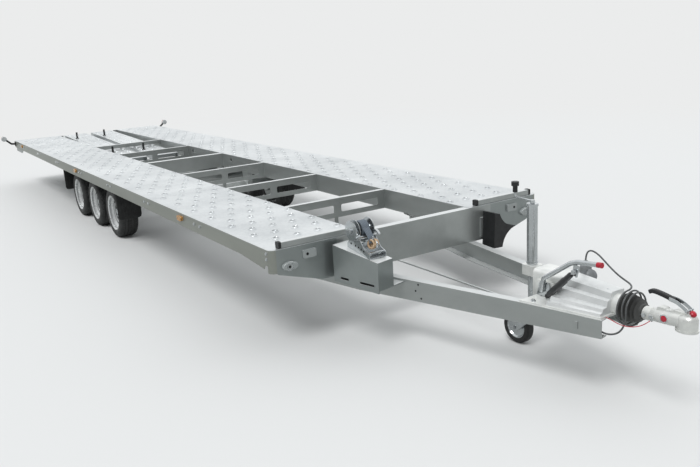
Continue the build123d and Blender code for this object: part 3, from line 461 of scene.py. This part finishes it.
# ------------------------------------------------------------------ pieces
class TRAILER_OT_stage(bpy.types.Operator):
    """Pale floor, sun, sky that is brighter on one side, and the camera"""
    bl_idname = "trailer.stage"
    bl_label = "Stage"

    def execute(self, context):
        scene = context.scene
        scene.view_settings.view_transform = "Standard"
        floor_finish, tree, place = new_finish("studio floor")
        seen = add(tree, "LightPath").outputs["Is Camera Ray"]
        shades = blend(tree, seen, linear(FLOOR_UNSEEN), linear(scene.trailer_colours.floor))
        lit = add(tree, "BsdfDiffuse", {"Color": shades})
        even = add(tree, "Emission", {"Color": linear(BACKDROP)})
        reach = add(tree, "VectorMath", {0: place}, operation="LENGTH").outputs["Value"]
        away = add(tree, "Math", {0: ramp(tree, reach, *FLOOR_FADE), 1: seen}, operation="MULTIPLY")
        shader = add(tree, "MixShader", {0: away.outputs[0], 1: lit.outputs[0], 2: even.outputs[0]})
        add(tree, "OutputMaterial", {"Surface": shader.outputs[0]})
        mesh = bpy.data.meshes.new("floor")
        corners = [(x * FLOOR_REACH, y * FLOOR_REACH, 0) for x, y in ((-1, -1), (1, -1), (1, 1), (-1, 1))]
        mesh.from_pydata(corners, [], [(0, 1, 2, 3)])
        mesh.materials.append(floor_finish)
        floor = bpy.data.objects.new("floor", mesh)
        scene.collection.objects.link(floor)

        world = bpy.data.worlds.new("studio")
        world.use_nodes = True
        tree = world.node_tree
        tree.nodes.clear()
        seen = add(tree, "LightPath").outputs["Is Camera Ray"]
        towards = add(tree, "TexCoord").outputs["Generated"]
        facing = add(tree, "VectorMath", {0: towards, 1: BRIGHT_SIDE}, operation="DOT_PRODUCT").outputs["Value"]
        strength = ramp(tree, facing, 0.0, 0.75, *SKY_STRENGTH, interpolation_type="SMOOTHSTEP")
        lit = add(tree, "Background", {"Color": linear(SKY), "Strength": strength})
        plain = add(tree, "Background", {"Color": linear(BACKDROP), "Strength": 1.0})
        mixed = add(tree, "MixShader", {0: seen, 1: lit.outputs[0], 2: plain.outputs[0]})
        add(tree, "OutputWorld", {"Surface": mixed.outputs[0]})
        scene.world = world

        light = bpy.data.lights.new("key", "SUN")
        light.angle = KEY_WIDTH
        light.energy = scene.trailer_sizes.key_light
        lamp = bpy.data.objects.new("key", light)
        lamp.rotation_euler = (Vector((0, 0, 0)) - Vector(KEY_FROM)).to_track_quat("-Z", "Y").to_euler()
        scene.collection.objects.link(lamp)

        view = bpy.data.cameras.new("camera")
        view.sensor_width = 36
        view.lens = CAMERA_LENS
        view.clip_end = 200
        camera = bpy.data.objects.new("camera", view)
        camera.location = CAMERA_PLACE
        camera.rotation_euler = CAMERA_TURN
        scene.collection.objects.link(camera)
        scene.camera = camera
        return {"FINISHED"}


def along(distance):
    """X of a place measured forwards from the deck's rear edge."""
    return REAR_EDGE + distance


COIL_FRONT, COIL_PITCH = 10.204, 0.0032      # along the trailer, of the first point and from each to the next
COIL_START, COIL_STEP = 202.5, 45            # degrees round the drawtube
COIL_REACH, COIL_SLACK = 0.084, 0.035        # radius of the turns, and the share of it by which they wander
DRAWTUBE_HEIGHT = 0.478


def coil_place(number):
    """Route point of the cable's loose turns round the bellows, from the front bottom to the rear top.

    The cable touches the middle of each run between two route points, so these lie further out than it does.
    """
    turn = radians(COIL_START - COIL_STEP * number)
    reach = COIL_REACH / cos(radians(COIL_STEP / 2)) * (1 + COIL_SLACK * sin(1.3 * number))
    return (COIL_FRONT - COIL_PITCH * number, reach * cos(turn), DRAWTUBE_HEIGHT + reach * sin(turn))


CABLE_START = [(9.9912, -0.140, 0.380), (10.062, -0.127, 0.374), (10.128, -0.116, 0.356), (10.188, -0.102, 0.382)]
CABLE_END = [(10.112, 0.070, 0.568), (10.052, 0.074, 0.586), (9.996, 0.084, 0.608), (9.938, 0.095, 0.638),
             (9.884, 0.104, 0.668), (9.832, 0.111, 0.678), (9.800, 0.114, 0.654), (9.797, 0.115, 0.6128)]
CORD_ROUTE = [(10.101, -0.098, 0.435), (10.136, -0.107, 0.436), (10.172, -0.113, 0.431), (10.212, -0.108, 0.425),
              (10.252, -0.090, 0.427), (10.286, -0.064, 0.441), (10.3048, -0.046, 0.463)]


def cord_curve(name, route, radius, finish):
    """Smooth round cord: a quadratic spline with the route's points as its control points."""
    curve = bpy.data.curves.new(name, "CURVE")
    curve.dimensions = "3D"
    curve.bevel_depth = radius
    curve.bevel_resolution = 4
    curve.use_fill_caps = True
    curve.resolution_u = 8
    line = curve.splines.new("NURBS")
    line.points.add(len(route) - 1)
    for point, (x, y, z) in zip(line.points, route):
        point.co = (along(x), y, z, 1)
    line.order_u = 3
    line.use_endpoint_u = True
    curve.materials.append(bpy.data.materials[finish])
    made = bpy.data.objects.new(name, curve)
    bpy.context.scene.collection.objects.link(made)
    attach(made, "chassis")
    return made


class TRAILER_OT_cords(bpy.types.Operator):
    """Trailer cable, wound loosely round the bellows, and the red breakaway cord"""
    bl_idname = "trailer.cords"
    bl_label = "Cable and cord"

    def execute(self, context):
        route = CABLE_START + [coil_place(number) for number in range(20)] + CABLE_END
        cable = cord_curve("trailer_cable", route, 0.0045, "cable sheath")
        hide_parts("electric_cable")
        cord = cord_curve("breakaway_line", CORD_ROUTE, 0.002, "red plastic")
        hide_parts("breakaway_cord")
        return {"FINISHED"}


class TRAILER_OT_finishes(bpy.types.Operator):
    """Materials, put on the slots of every frame part"""
    bl_idname = "trailer.finishes"
    bl_label = "Finishes"

    def execute(self, context):
        finishes = make_finishes(context.scene.trailer_colours)
        for name, parts in PART_FINISHES.items():
            for part in parts:
                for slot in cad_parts[part].material_slots:
                    slot.material = finishes[name]
        return {"FINISHED"}


class TRAILER_OT_dimples(bpy.types.Operator):
    """Raised grip dimples of the runways and the loading ramps"""
    bl_idname = "trailer.dimples"
    bl_label = "Grip dimples"

    def execute(self, context):
        sizes = context.scene.trailer_sizes
        radius = sizes.dimple_radius
        profile = [(0.97 * radius, -0.0008), (radius, 0.0), (0.93 * radius, 0.0022), (0.84 * radius, 0.0050),
                   (0.75 * radius, 0.0062), (0.68 * radius, 0.0060), (0.64 * radius, 0.0045), (0.62 * radius, 0.0009),
                   (0.20 * radius, 0.0007)]
        points, triangles = lathe(profile, (0, 0, 0), (0, 0, 1), turns=16)
        rows = np.arange(int((DECK_FRONT - REAR_EDGE - 0.3) / sizes.dimple_pitch) + 1)
        x = DECK_FRONT - 0.245 - rows * sizes.dimple_pitch
        columns = np.arange(4)
        outer = RAIL_SIDE - np.where(rows % 2, 0.100, 0.170)
        y = outer[:, None] - columns[None, :] * sizes.dimple_gap
        centres = np.stack([np.broadcast_to(x[:, None], y.shape), y, np.full(y.shape, DECK_TOP)], -1).reshape(-1, 3)
        for side, name in ((1, "left_runway_dimples"), (-1, "right_runway_dimples")):
            piece(name, [scattered((points, triangles), centres * (1, side, 1))], "galvanised sheet")

        low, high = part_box("loading_ramps")
        slope = -0.03
        ramp_inner, ramp_half = 0.040, 0.165
        x = np.arange(low[0] + 0.10, high[0] - 0.06, 0.105)
        small = points * (0.55, 0.55, 0.8)
        shapes = []
        for side in (-1, 1):
            y = side * (ramp_inner + ramp_half + np.array([-0.11, 0.0, 0.11]))
            across, length = np.meshgrid(y, x)
            height = DECK_TOP - 0.003 + slope * (length - REAR_EDGE) + 0.0002
            places = np.stack([length, across, height], -1).reshape(-1, 3)
            shapes.append(scattered((small, triangles), places))
        piece("ramp_dimples", shapes, "galvanised sheet")
        return {"FINISHED"}


TYRE_HALF = [(0.0400, 0.2550), (0.0700, 0.2520), (0.0850, 0.2440), (0.0945, 0.228), (0.0975, 0.207),
             (0.0945, 0.190), (0.0855, 0.176), (0.0775, 0.166)]
TYRE_SECTION = [(-y, r) for y, r in reversed(TYRE_HALF)] + [(0.0, 0.2552)] + TYRE_HALF + [(0.0, 0.166)]
TYRE_GROOVES = (-0.048, -0.016, 0.016, 0.048)
TYRE_CUTS = 58


def tyre_shape(centre, groove_depth):
    """Tyre with four round grooves and slanted shoulder and centre cuts.

    The section is carried round the wheel; where a groove runs, its radius drops by the groove's depth.  A cut
    is open where the fraction of (angle * count / turn + slant * y) is small.
    """
    outline = rounded(TYRE_SECTION, 2, closed=True)
    loop = np.concatenate([outline, outline[:1]])
    length = np.concatenate([[0], np.cumsum(np.linalg.norm(np.diff(loop, axis=0), axis=1))])
    fine = np.linspace(0, length[-1], 1200)
    y_fine, r_fine = np.interp(fine, length, loop[:, 0]), np.interp(fine, length, loop[:, 1])
    weight = np.where((np.abs(y_fine) < 0.085) & (r_fine > 0.235), 3.2, 1.0)
    share = np.concatenate([[0], np.cumsum(weight[:-1] * np.diff(fine))])
    place = np.linspace(0, share[-1], 96, endpoint=False)
    y, r = np.interp(place, share, y_fine), np.interp(place, share, r_fine)
    angle = np.linspace(0, 2 * pi, 320, endpoint=False)
    tread = np.clip((r - 0.240) / 0.006, 0, 1)[:, None]
    rings = np.max([np.clip(1.6 - np.abs(y - line) / 0.0028, 0, 1) for line in TYRE_GROOVES], axis=0)
    turn = angle[None, :] / (2 * pi) * TYRE_CUTS
    cut = np.abs((turn + 9 * np.abs(y)[:, None] + 0.5) % 1 - 0.5)
    cuts = np.clip(1.5 - cut / 0.085, 0, 1) * (np.abs(np.abs(y) - 0.032)[:, None] > 0.010)
    drop = groove_depth * tread * np.maximum(rings[:, None], 0.8 * cuts)
    side_rib = 0.0006 * (np.abs(r - 0.216) < 0.003) * (np.abs(y) > 0.08)
    radius = r[:, None] - drop
    side = y[:, None] + np.sign(y)[:, None] * side_rib[:, None]
    points = np.stack([radius * np.cos(angle), side + 0 * angle, radius * np.sin(angle)], -1)
    points = points.reshape(-1, 3)
    faces = outward(points, cells(len(y), len(angle), close_rows=True))
    return points + centre, faces


class TRAILER_OT_tyres(bpy.types.Operator):
    """Road tyres with their tread"""
    bl_idname = "trailer.tyres"
    bl_label = "Tyres"

    def execute(self, context):
        depth = context.scene.trailer_sizes.groove_depth
        for wheel in WHEELS:
            node = f"{wheel}_tyre"
            piece(f"{wheel}_tread", [tyre_shape(middle_of(node), depth)], "tyre rubber",
                  body=f"{wheel}_wheel", stands_for=[node], crease=30)
        return {"FINISHED"}


class TRAILER_OT_wheel_fittings(bpy.types.Operator):
    """Wheel nuts, grease caps and valves"""
    bl_idname = "trailer.wheel_fittings"
    bl_label = "Wheel fittings"

    def execute(self, context):
        for wheel in WHEELS:
            centre = middle_of(f"{wheel}_tyre")
            out = np.array((0, 1 if "left" in wheel else -1, 0))
            shapes = []
            for step in range(5):
                angle = 2 * pi * step / 5 + 0.3
                place = centre + 0.0255 * out + 0.056 * np.array((cos(angle), 0, sin(angle)))
                shapes += [lathe([(0.0105, 0), (0.0105, 0.014), (0.008, 0.018), (0.003, 0.019)], place, out, 6),
                           lathe([(0.013, 0), (0.013, 0.002), (0.0118, 0.004)], place, out, 16)]
            piece(f"{wheel}_nuts", shapes, "plated steel", body=f"{wheel}_wheel")
            cap = lathe([(0.026, 0.0), (0.026, 0.012), (0.024, 0.017), (0.018, 0.020), (0.008, 0.022),
                         (0.002, 0.0225)], centre + 0.0340 * out, out, turns=28)
            valve = lathe([(0.004, 0), (0.004, 0.020), (0.0048, 0.021), (0.0048, 0.032), (0.003, 0.033)],
                          centre + 0.036 * out + np.array((0.118 * cos(0.95), 0, 0.118 * sin(0.95))), out, turns=12)
            piece(f"{wheel}_cap", [cap], "plated steel", body=f"{wheel}_wheel")
            piece(f"{wheel}_valve", [valve], "moulded black", body=f"{wheel}_wheel")
        return {"FINISHED"}


REAR_FLAP, FRONT_FLAP = 2.945, 5.150


class TRAILER_OT_mudflaps(bpy.types.Operator):
    """Ribbed rubber flaps behind and ahead of the wheels, with their clamping strips"""
    bl_idname = "trailer.mudflaps"
    bl_label = "Mudflaps"

    def execute(self, context):
        flaps, strips = [], []
        for side in (-1, 1):
            for place, low in ((along(REAR_FLAP), 0.265), (along(FRONT_FLAP), 0.250)):
                outline = [(0.820, DECK_TOP - 0.003), (0.820, low + 0.03), (0.829, low + 0.009), (0.850, low),
                           (1.021, low), (1.042, low + 0.009), (1.051, low + 0.03), (1.051, DECK_TOP - 0.003)]
                flat = np.array(outline) * (side, 1)
                flaps.append(plate(flat, (place, 0, 0), (0, 1, 0), (0, 0, 1), 0.006, edge=0.0015))
                for step in range(7):
                    y = side * (0.846 + 0.030 * step)
                    path = np.array([(place + 0.0062, y, z) for z in np.linspace(low + 0.03, DECK_TOP - 0.06, 5)])
                    flaps.append(bar(path, 0.0035, 0.0022, up=(0, 1, 0), square=0.6))
                strips.append(bar([(place + 0.0085, side * y, DECK_TOP - 0.030) for y in (0.822, 0.9, 0.98, 1.049)],
                                  0.0024, 0.018, square=0.3))
                for y in (0.84, 0.935, 1.03):
                    strips += hexagon_bolt((place + 0.0105, side * y, DECK_TOP - 0.030), (1, 0, 0), 0.013)
        piece("ribbed_mudflaps", flaps, "rubber", stands_for=["mudflaps"])
        piece("mudflap_strips", strips, "plated steel")
        return {"FINISHED"}


ARM_TAPER = 0.222


def arm_side(distance):
    """Half the width over the drawbar's arms, at a distance forwards from the deck's rear edge."""
    return 0.490 - ARM_TAPER * (distance - 8.53)


class TRAILER_OT_frame_bolts(bpy.types.Operator):
    """Bolts of the rails, corner posts, outriggers and drawbar, and dark discs for the holes in the drawbar's arms"""
    bl_idname = "trailer.frame_bolts"
    bl_label = "Frame bolts"

    def execute(self, context):
        shapes = []
        for side in (-1, 1):
            out = (0, side, 0)
            for step in range(7):
                for shift in (-0.053, 0.053):
                    place = (along(7.398 - 1.119 * step + shift), side * RAIL_SIDE, DECK_TOP - 0.042)
                    shapes += hexagon_bolt(place, out, 0.017)
            for height in (0.025, 0.060):
                shapes += hexagon_bolt((DECK_FRONT - 0.046, side * RAIL_SIDE, DECK_TOP - height), out, 0.015)
            for place in (9.72, 9.89, 10.05):
                shapes += hexagon_bolt((along(place), side * (arm_side(place) - 0.034), 0.440), (0, 0, 1), 0.019)
        piece("frame_bolts", shapes, "plated steel")

        # painted shade: near-black discs on the arms' faces stand in for the shade inside their holes
        gaps = []
        for side in (-1, 1):
            for place, height in ((9.0, 0.394), (9.02, 0.312), (8.98, 0.352)):
                gaps.append(lathe([(0.006, -0.001), (0.006, 0.0006), (0.0055, 0.0008)],
                                  (along(place), side * arm_side(place), height), (ARM_TAPER, side, 0), turns=16))
        piece("arm_holes", gaps, "dark gap")
        return {"FINISHED"}


class TRAILER_OT_lamp_details(bpy.types.Operator):
    """Bezels and screws of the lamps and side markers"""
    bl_idname = "trailer.lamp_details"
    bl_label = "Lamp details"

    def execute(self, context):
        screws, bases = [], []
        for side in (-1, 1):
            lamp = (DECK_FRONT, side * 0.985, 0.532)
            bases.append(ring([(0.0175, 0.018), (0.0205, 0.020), (0.0235, 0.0225), (0.0205, 0.024), (0.0175, 0.0225)],
                              lamp, (1, 0, 0), 24))
            screws.append(lathe([(0.013, 0.019), (0.012, 0.0215), (0.006, 0.0225), (0.002, 0.0227)],
                                lamp, (1, 0, 0), 20))
            screws.append(lathe([(0.009, 0.012), (0.009, 0.0148), (0.004, 0.0156)],
                                (DECK_FRONT, side * 0.857, 0.585), (1, 0, 0), 18))
            for step in range(3):
                place = along(0.600 + 3.237 * step)
                for shift in (-0.031, 0.031):
                    screws.append(lathe([(0.0042, 0.014), (0.0042, 0.0168), (0.002, 0.0174)],
                                        (place + shift, side * RAIL_SIDE, RAIL_LOW + 0.0575), (0, side, 0), 12))
        piece("lamp_screws", screws, "dark gap")
        piece("lamp_bezels", bases, "plated steel")
        return {"FINISHED"}


def hoop(centre, lean, size, thick=0.0062):
    """Oval ring of webbing: a closed path round the centre, with a circle of the given radius round each point."""
    turn = np.linspace(0, 2 * pi, 28, endpoint=False)[:, None]
    across = np.array((sin(lean), 0.35, cos(lean)))
    around = np.cos(turn) * unit((cos(lean), 0, -sin(lean))) * size + np.sin(turn) * across * size * 0.8
    path = centre + around
    outwards = unit(around)
    sideways = np.cross(outwards, unit(np.roll(path, -1, 0) - path))
    angle = np.linspace(0, 2 * pi, 12, endpoint=False)[None, :, None]
    points = path[:, None] + thick * (np.cos(angle) * outwards[:, None] + np.sin(angle) * sideways[:, None])
    points = points.reshape(-1, 3)
    return points, outward(points - points.mean(0), cells(28, 12, close_rows=True))


class TRAILER_OT_winch_details(bpy.types.Operator):
    """Toothed wheel, pinion, pawl, wound strap with its looped end, and the hook"""
    bl_idname = "trailer.winch_details"
    bl_label = "Winch details"

    def execute(self, context):
        centre = middle_of("winch_drum")
        low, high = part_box("winch_frame")
        near, far = low[1], high[1]
        hub = np.array((centre[0], near, centre[2]))
        gear = lathe([(0.030, -0.0170), (0.058, -0.0165), (0.058, -0.0095), (0.030, -0.0090)], hub, (0, 1, 0),
                     turns=180, teeth=45, depth=0.0035)
        pinion_place = hub + (0.066, -0.018, -0.030)
        pinion = lathe([(0.012, 0), (0.0135, 0.0004), (0.0135, 0.014), (0.012, 0.0145)], pinion_place, (0, 1, 0),
                       turns=72, teeth=12, depth=0.003)
        shaft = lathe([(0.007, -0.012), (0.007, 0.150), (0.006, 0.152)], pinion_place, (0, 1, 0), turns=20)
        spindle = hexagon_bolt(hub + (0, -0.020, 0), (0, -1, 0), 0.022)
        pawl = bar(rounded([pinion_place + (-0.004, 0.128, 0.020), pinion_place + (0.022, 0.128, 0.030),
                            pinion_place + (0.045, 0.128, 0.008)], 2), 0.006, 0.009, up=(0, 1, 0), square=0.5)
        bolts = []
        for shift in (-0.045, 0.125):
            for side in (0.030, 0.090):
                spot = np.array((centre[0] + shift, near + side, low[2] + (0.0145 if shift > 0 else 0.0405)))
                bolts += hexagon_bolt(spot, (0.15, 0, 1), 0.015)
        piece("winch_gear", [gear, pinion, shaft, pawl, *spindle, *bolts], "plated steel")

        # painted shade: near-black discs on the winch frame stand in for the shade inside its holes
        slots = []
        for shift, rise in ((-0.028, -0.084), (0.018, -0.090), (0.050, -0.094), (0.078, -0.100), (0.104, -0.108)):
            spot = hub + (shift, -0.0004, rise)
            slots.append(lathe([(0.0058, -0.0010), (0.0060, 0.0004), (0.0055, 0.0008)], spot, (0, -1, 0), 16))
        piece("winch_holes", slots, "dark gap")

        strap_half = 0.026
        mid = (near + far) / 2
        angle = np.linspace(0.3, 2 * pi * 3.2, 150)
        reach = 0.0535 - 0.0016 * (angle[-1] - angle) / (2 * pi)
        wound = np.stack([centre[0] + reach * np.cos(angle), np.full(len(angle), mid),
                          centre[2] + reach * np.sin(angle)], -1)
        knot = np.array((centre[0] + 0.112, mid, centre[2] - 0.066))
        tail = rounded([wound[-1], (centre[0] + 0.078, mid, centre[2] - 0.012), knot + (-0.012, 0, 0.030), knot], 3)
        piece("wound_strap", [bar(wound, 0.0010, strap_half, up=(0, 1, 0), square=0.3),
                              bar(tail, 0.0012, strap_half - 0.004, up=(0, 1, 0), square=0.3)],
              "strap webbing", stands_for=["winch_strap"])
        loops = [hoop(knot + (0.004, shift, -0.004), lean, size)
                 for shift, lean, size in ((-0.014, 0.5, 0.026), (0.002, -0.3, 0.031), (0.017, 0.2, 0.024),
                                           (0.006, 1.1, 0.022))]
        piece("strap_end", loops, "strap loop")

        base = knot + (0.016, 0, -0.006)
        hook = rounded([base + (-0.012, 0, 0.028), base + (-0.004, 0, 0.012), base + (0.004, 0, -0.002),
                        base + (0.022, 0, -0.012), base + (0.034, 0, 0.002), base + (0.030, 0, 0.018),
                        base + (0.020, 0, 0.024)], 3)
        count = len(hook)
        thick = 0.0062 * np.interp(np.linspace(0, 1, count), [0, 0.6, 1], [1, 1.15, 0.55])
        eye = ring([(0.009 + 0.004 * cos(t), 0.004 * sin(t)) for t in np.linspace(0, 2 * pi, 9)[:-1]],
                   base + (-0.016, 0, 0.036), (0, 1, 0), 24)
        piece("winch_hook", [bar(hook, thick, up=(0, 1, 0)), eye], "plated steel")
        return {"FINISHED"}


class TRAILER_OT_coupling_details(bpy.types.Operator):
    """Red button and wear marks, collar bolts, black handle and its arms, cover screws, gas spring, plug collar"""
    bl_idname = "trailer.coupling_details"
    bl_label = "Coupling details"

    def execute(self, context):
        nose = CAD_BOX[1][0]
        reds, steels = [], []
        for side in (-1, 1):
            spot = np.array((along(10.372), side * 0.0395, 0.492))
            reds.append(lathe([(0.0150, 0), (0.0150, 0.0045), (0.012, 0.0062), (0.004, 0.0066)],
                              spot, (0, side, 0), 24))
            steels.append(ring([(0.0150, 0.0), (0.0195, 0.0), (0.0195, 0.005), (0.0175, 0.0066), (0.0150, 0.005)],
                               spot, (0, side, 0), 28))
        reds.append(lathe([(0.013, 0), (0.0155, 0.004), (0.0155, 0.014), (0.011, 0.019), (0.003, 0.0205)],
                          (nose - 0.0335, 0, 0.529), (0.62, 0, 0.78), 24))
        piece("coupling_marks", reds, "red plastic")
        for place in (10.262, 10.300):
            for side in (-1, 1):
                spot = (along(place), side * 0.0325, DRAWTUBE_HEIGHT)
                steels += hexagon_bolt(spot, (0, side, 0), 0.019, washer=False)
        grip = bar(rounded([(along(10.268), 0, 0.588), (along(10.284), 0, 0.597), (along(10.330), 0, 0.592),
                            (along(10.378), 0, 0.582), (along(10.392), 0, 0.576)], 2), 0.0135, 0.0105, square=0.55,
                   turns=20)
        tab = bar(rounded([(along(10.380), 0, 0.577), (along(10.405), 0, 0.572), (along(10.420), 0, 0.566)], 1),
                  0.0100, 0.0050, square=0.4)
        piece("handle_grip", [grip, tab], "moulded black", stands_for=["coupling_handle"])
        arms = [bar(rounded([(along(10.376), side * 0.0150, 0.582), (along(10.412), side * 0.0165, 0.578),
                             (along(10.446), side * 0.0168, 0.562), (along(10.474), side * 0.0168, 0.544)], 2),
                    0.0085, 0.0024, up=(0, 1, 0), square=0.35) for side in (-1, 1)]
        pin = lathe([(0.006, -0.026), (0.0065, -0.024), (0.0065, 0.024), (0.006, 0.026)], (along(10.468), 0, 0.548),
                    (0, 1, 0), 18)
        for place, height in ((9.85, 0.5572), (10.05, 0.5467)):
            steels.append(lathe([(0.007, -0.001), (0.007, 0.003), (0.005, 0.0045), (0.002, 0.0048)],
                                (along(place), -0.024, height), (0, 0, 1), 18))
        low, high = np.array((along(9.758), -0.128, 0.462)), np.array((along(9.925), -0.128, 0.630))
        reach = np.linalg.norm(high - low)
        body = lathe([(0.008, 0.008), (0.0165, 0.014), (0.0180, 0.022), (0.0180, 0.158), (0.0150, 0.166),
                      (0.0150, 0.212), (0.011, 0.217)], low, high - low, 24)
        eyes = [lathe([(0.011, -0.009), (0.0125, -0.007), (0.0125, 0.007), (0.011, 0.009)], spot, (0, 1, 0), 20)
                for spot in (low, high)]
        piece("gas_spring", [body, eyes[0]], "black paint", stands_for=["gas_strut"])
        rod = lathe([(0.0055, 0.214), (0.0055, reach - 0.004), (0.004, reach)], low, high - low, 16)
        bracket = bar(rounded([high + (-0.006, 0.014, -0.024), high + (0.002, 0.014, 0.006),
                               high + (0.006, 0.014, 0.034)], 2), 0.018, 0.0025, up=(0, 1, 0), square=0.35)
        piece("coupling_fittings", [*steels, *arms, pin, rod, eyes[1], bracket], "plated steel")
        plug, below = middle_of("electric_plug"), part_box("electric_plug")[0][2]
        skirt = below - plug[2] + 0.006
        collar = ring([(0.016, skirt), (0.0315, skirt), (0.0315, 0.004), (0.0275, 0.010), (0.0240, 0.020),
                       (0.016, 0.022)], plug, (0, 0, 1), 40)
        nut = lathe([(0.0335, 0.0), (0.0345, 0.002), (0.0345, 0.014), (0.0335, 0.016)],
                    (plug[0], plug[1], below + 0.008), (0, 0, 1), 80, teeth=20, depth=0.0018)
        lid = lathe([(0.030, -0.004), (0.032, -0.002), (0.032, 0.008), (0.027, 0.013), (0.006, 0.016)],
                    (plug[0] + 0.046, plug[1] - 0.010, below + 0.012), (0.86, -0.18, 0.42), 32)
        hinge = bar([(plug[0] + ahead, plug[1] + side, below + rise) for ahead, side, rise in
                     ((0.022, -0.004, 0.036), (0.034, -0.006, 0.042), (0.046, -0.009, 0.036))],
                    0.012, 0.0035, square=0.5)
        piece("plug_socket", [collar, nut, lid, hinge], "grey plastic")
        return {"FINISHED"}


class TRAILER_OT_jockey_details(bpy.types.Operator):
    """Clamp screw with its lever, the tube's top ring, and the nuts on the wheel's pin"""
    bl_idname = "trailer.jockey_details"
    bl_label = "Jockey wheel details"

    def execute(self, context):
        low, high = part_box("jockey_clamp")
        tube = middle_of("jockey_leg")
        screw = np.array((tube[0], high[1], (low[2] + high[2]) / 2))
        lever = [screw + (-0.034, 0.023, 0.006), screw + (0, 0.023, 0.0), screw + (0.034, 0.023, -0.006)]
        shapes = [lathe([(0.009, 0), (0.009, 0.028), (0.007, 0.031)], screw, (0, 1, 0), 20),
                  bar(rounded(lever, 2), 0.0050, up=(0, 0, 1)),
                  ring([(0.0302, -0.004), (0.033, -0.004), (0.033, 0.004), (0.0302, 0.004)],
                       (tube[0], tube[1], high[2] + 0.012), (0, 0, 1), 32)]
        piece("clamp_screw", shapes, "plated steel")
        wheel = middle_of("jockey_hub")
        nuts = []
        for side in (-1, 1):
            nuts += hexagon_bolt(wheel + (0, side * 0.0435, 0), (0, side, 0), 0.017)
        piece("jockey_pin_nuts", nuts, "plated steel", body="jockey_castor")
        return {"FINISHED"}


class TRAILER_PT_panel(bpy.types.Panel):
    """Lists the trailer's settings and pieces"""
    bl_idname = "TRAILER_PT_panel"
    bl_label = "Trailer"
    bl_space_type = "VIEW_3D"
    bl_region_type = "UI"
    bl_category = "Trailer"

    def draw(self, context):
        for settings in (context.scene.trailer_colours, context.scene.trailer_sizes):
            for name in settings.__annotations__:
                self.layout.prop(settings, name)
        for operator in OPERATORS:
            self.layout.operator(operator.bl_idname)


SETTINGS = (TrailerColours, TrailerSizes)
OPERATORS = (TRAILER_OT_finishes, TRAILER_OT_stage, TRAILER_OT_cords, TRAILER_OT_dimples, TRAILER_OT_tyres,
             TRAILER_OT_mudflaps, TRAILER_OT_wheel_fittings, TRAILER_OT_frame_bolts, TRAILER_OT_lamp_details,
             TRAILER_OT_winch_details, TRAILER_OT_coupling_details, TRAILER_OT_jockey_details)


def register():
    for item in (*SETTINGS, *OPERATORS, TRAILER_PT_panel):
        bpy.utils.register_class(item)
    bpy.types.Scene.trailer_colours = bpy.props.PointerProperty(type=TrailerColours)
    bpy.types.Scene.trailer_sizes = bpy.props.PointerProperty(type=TrailerSizes)


def unregister():
    del bpy.types.Scene.trailer_sizes
    del bpy.types.Scene.trailer_colours
    for item in reversed((*SETTINGS, *OPERATORS, TRAILER_PT_panel)):
        bpy.utils.unregister_class(item)


def main():
    register()
    for operator in OPERATORS:
        group, name = operator.bl_idname.split(".")
        getattr(getattr(bpy.ops, group), name)()


if __name__ == "__main__":
    main()
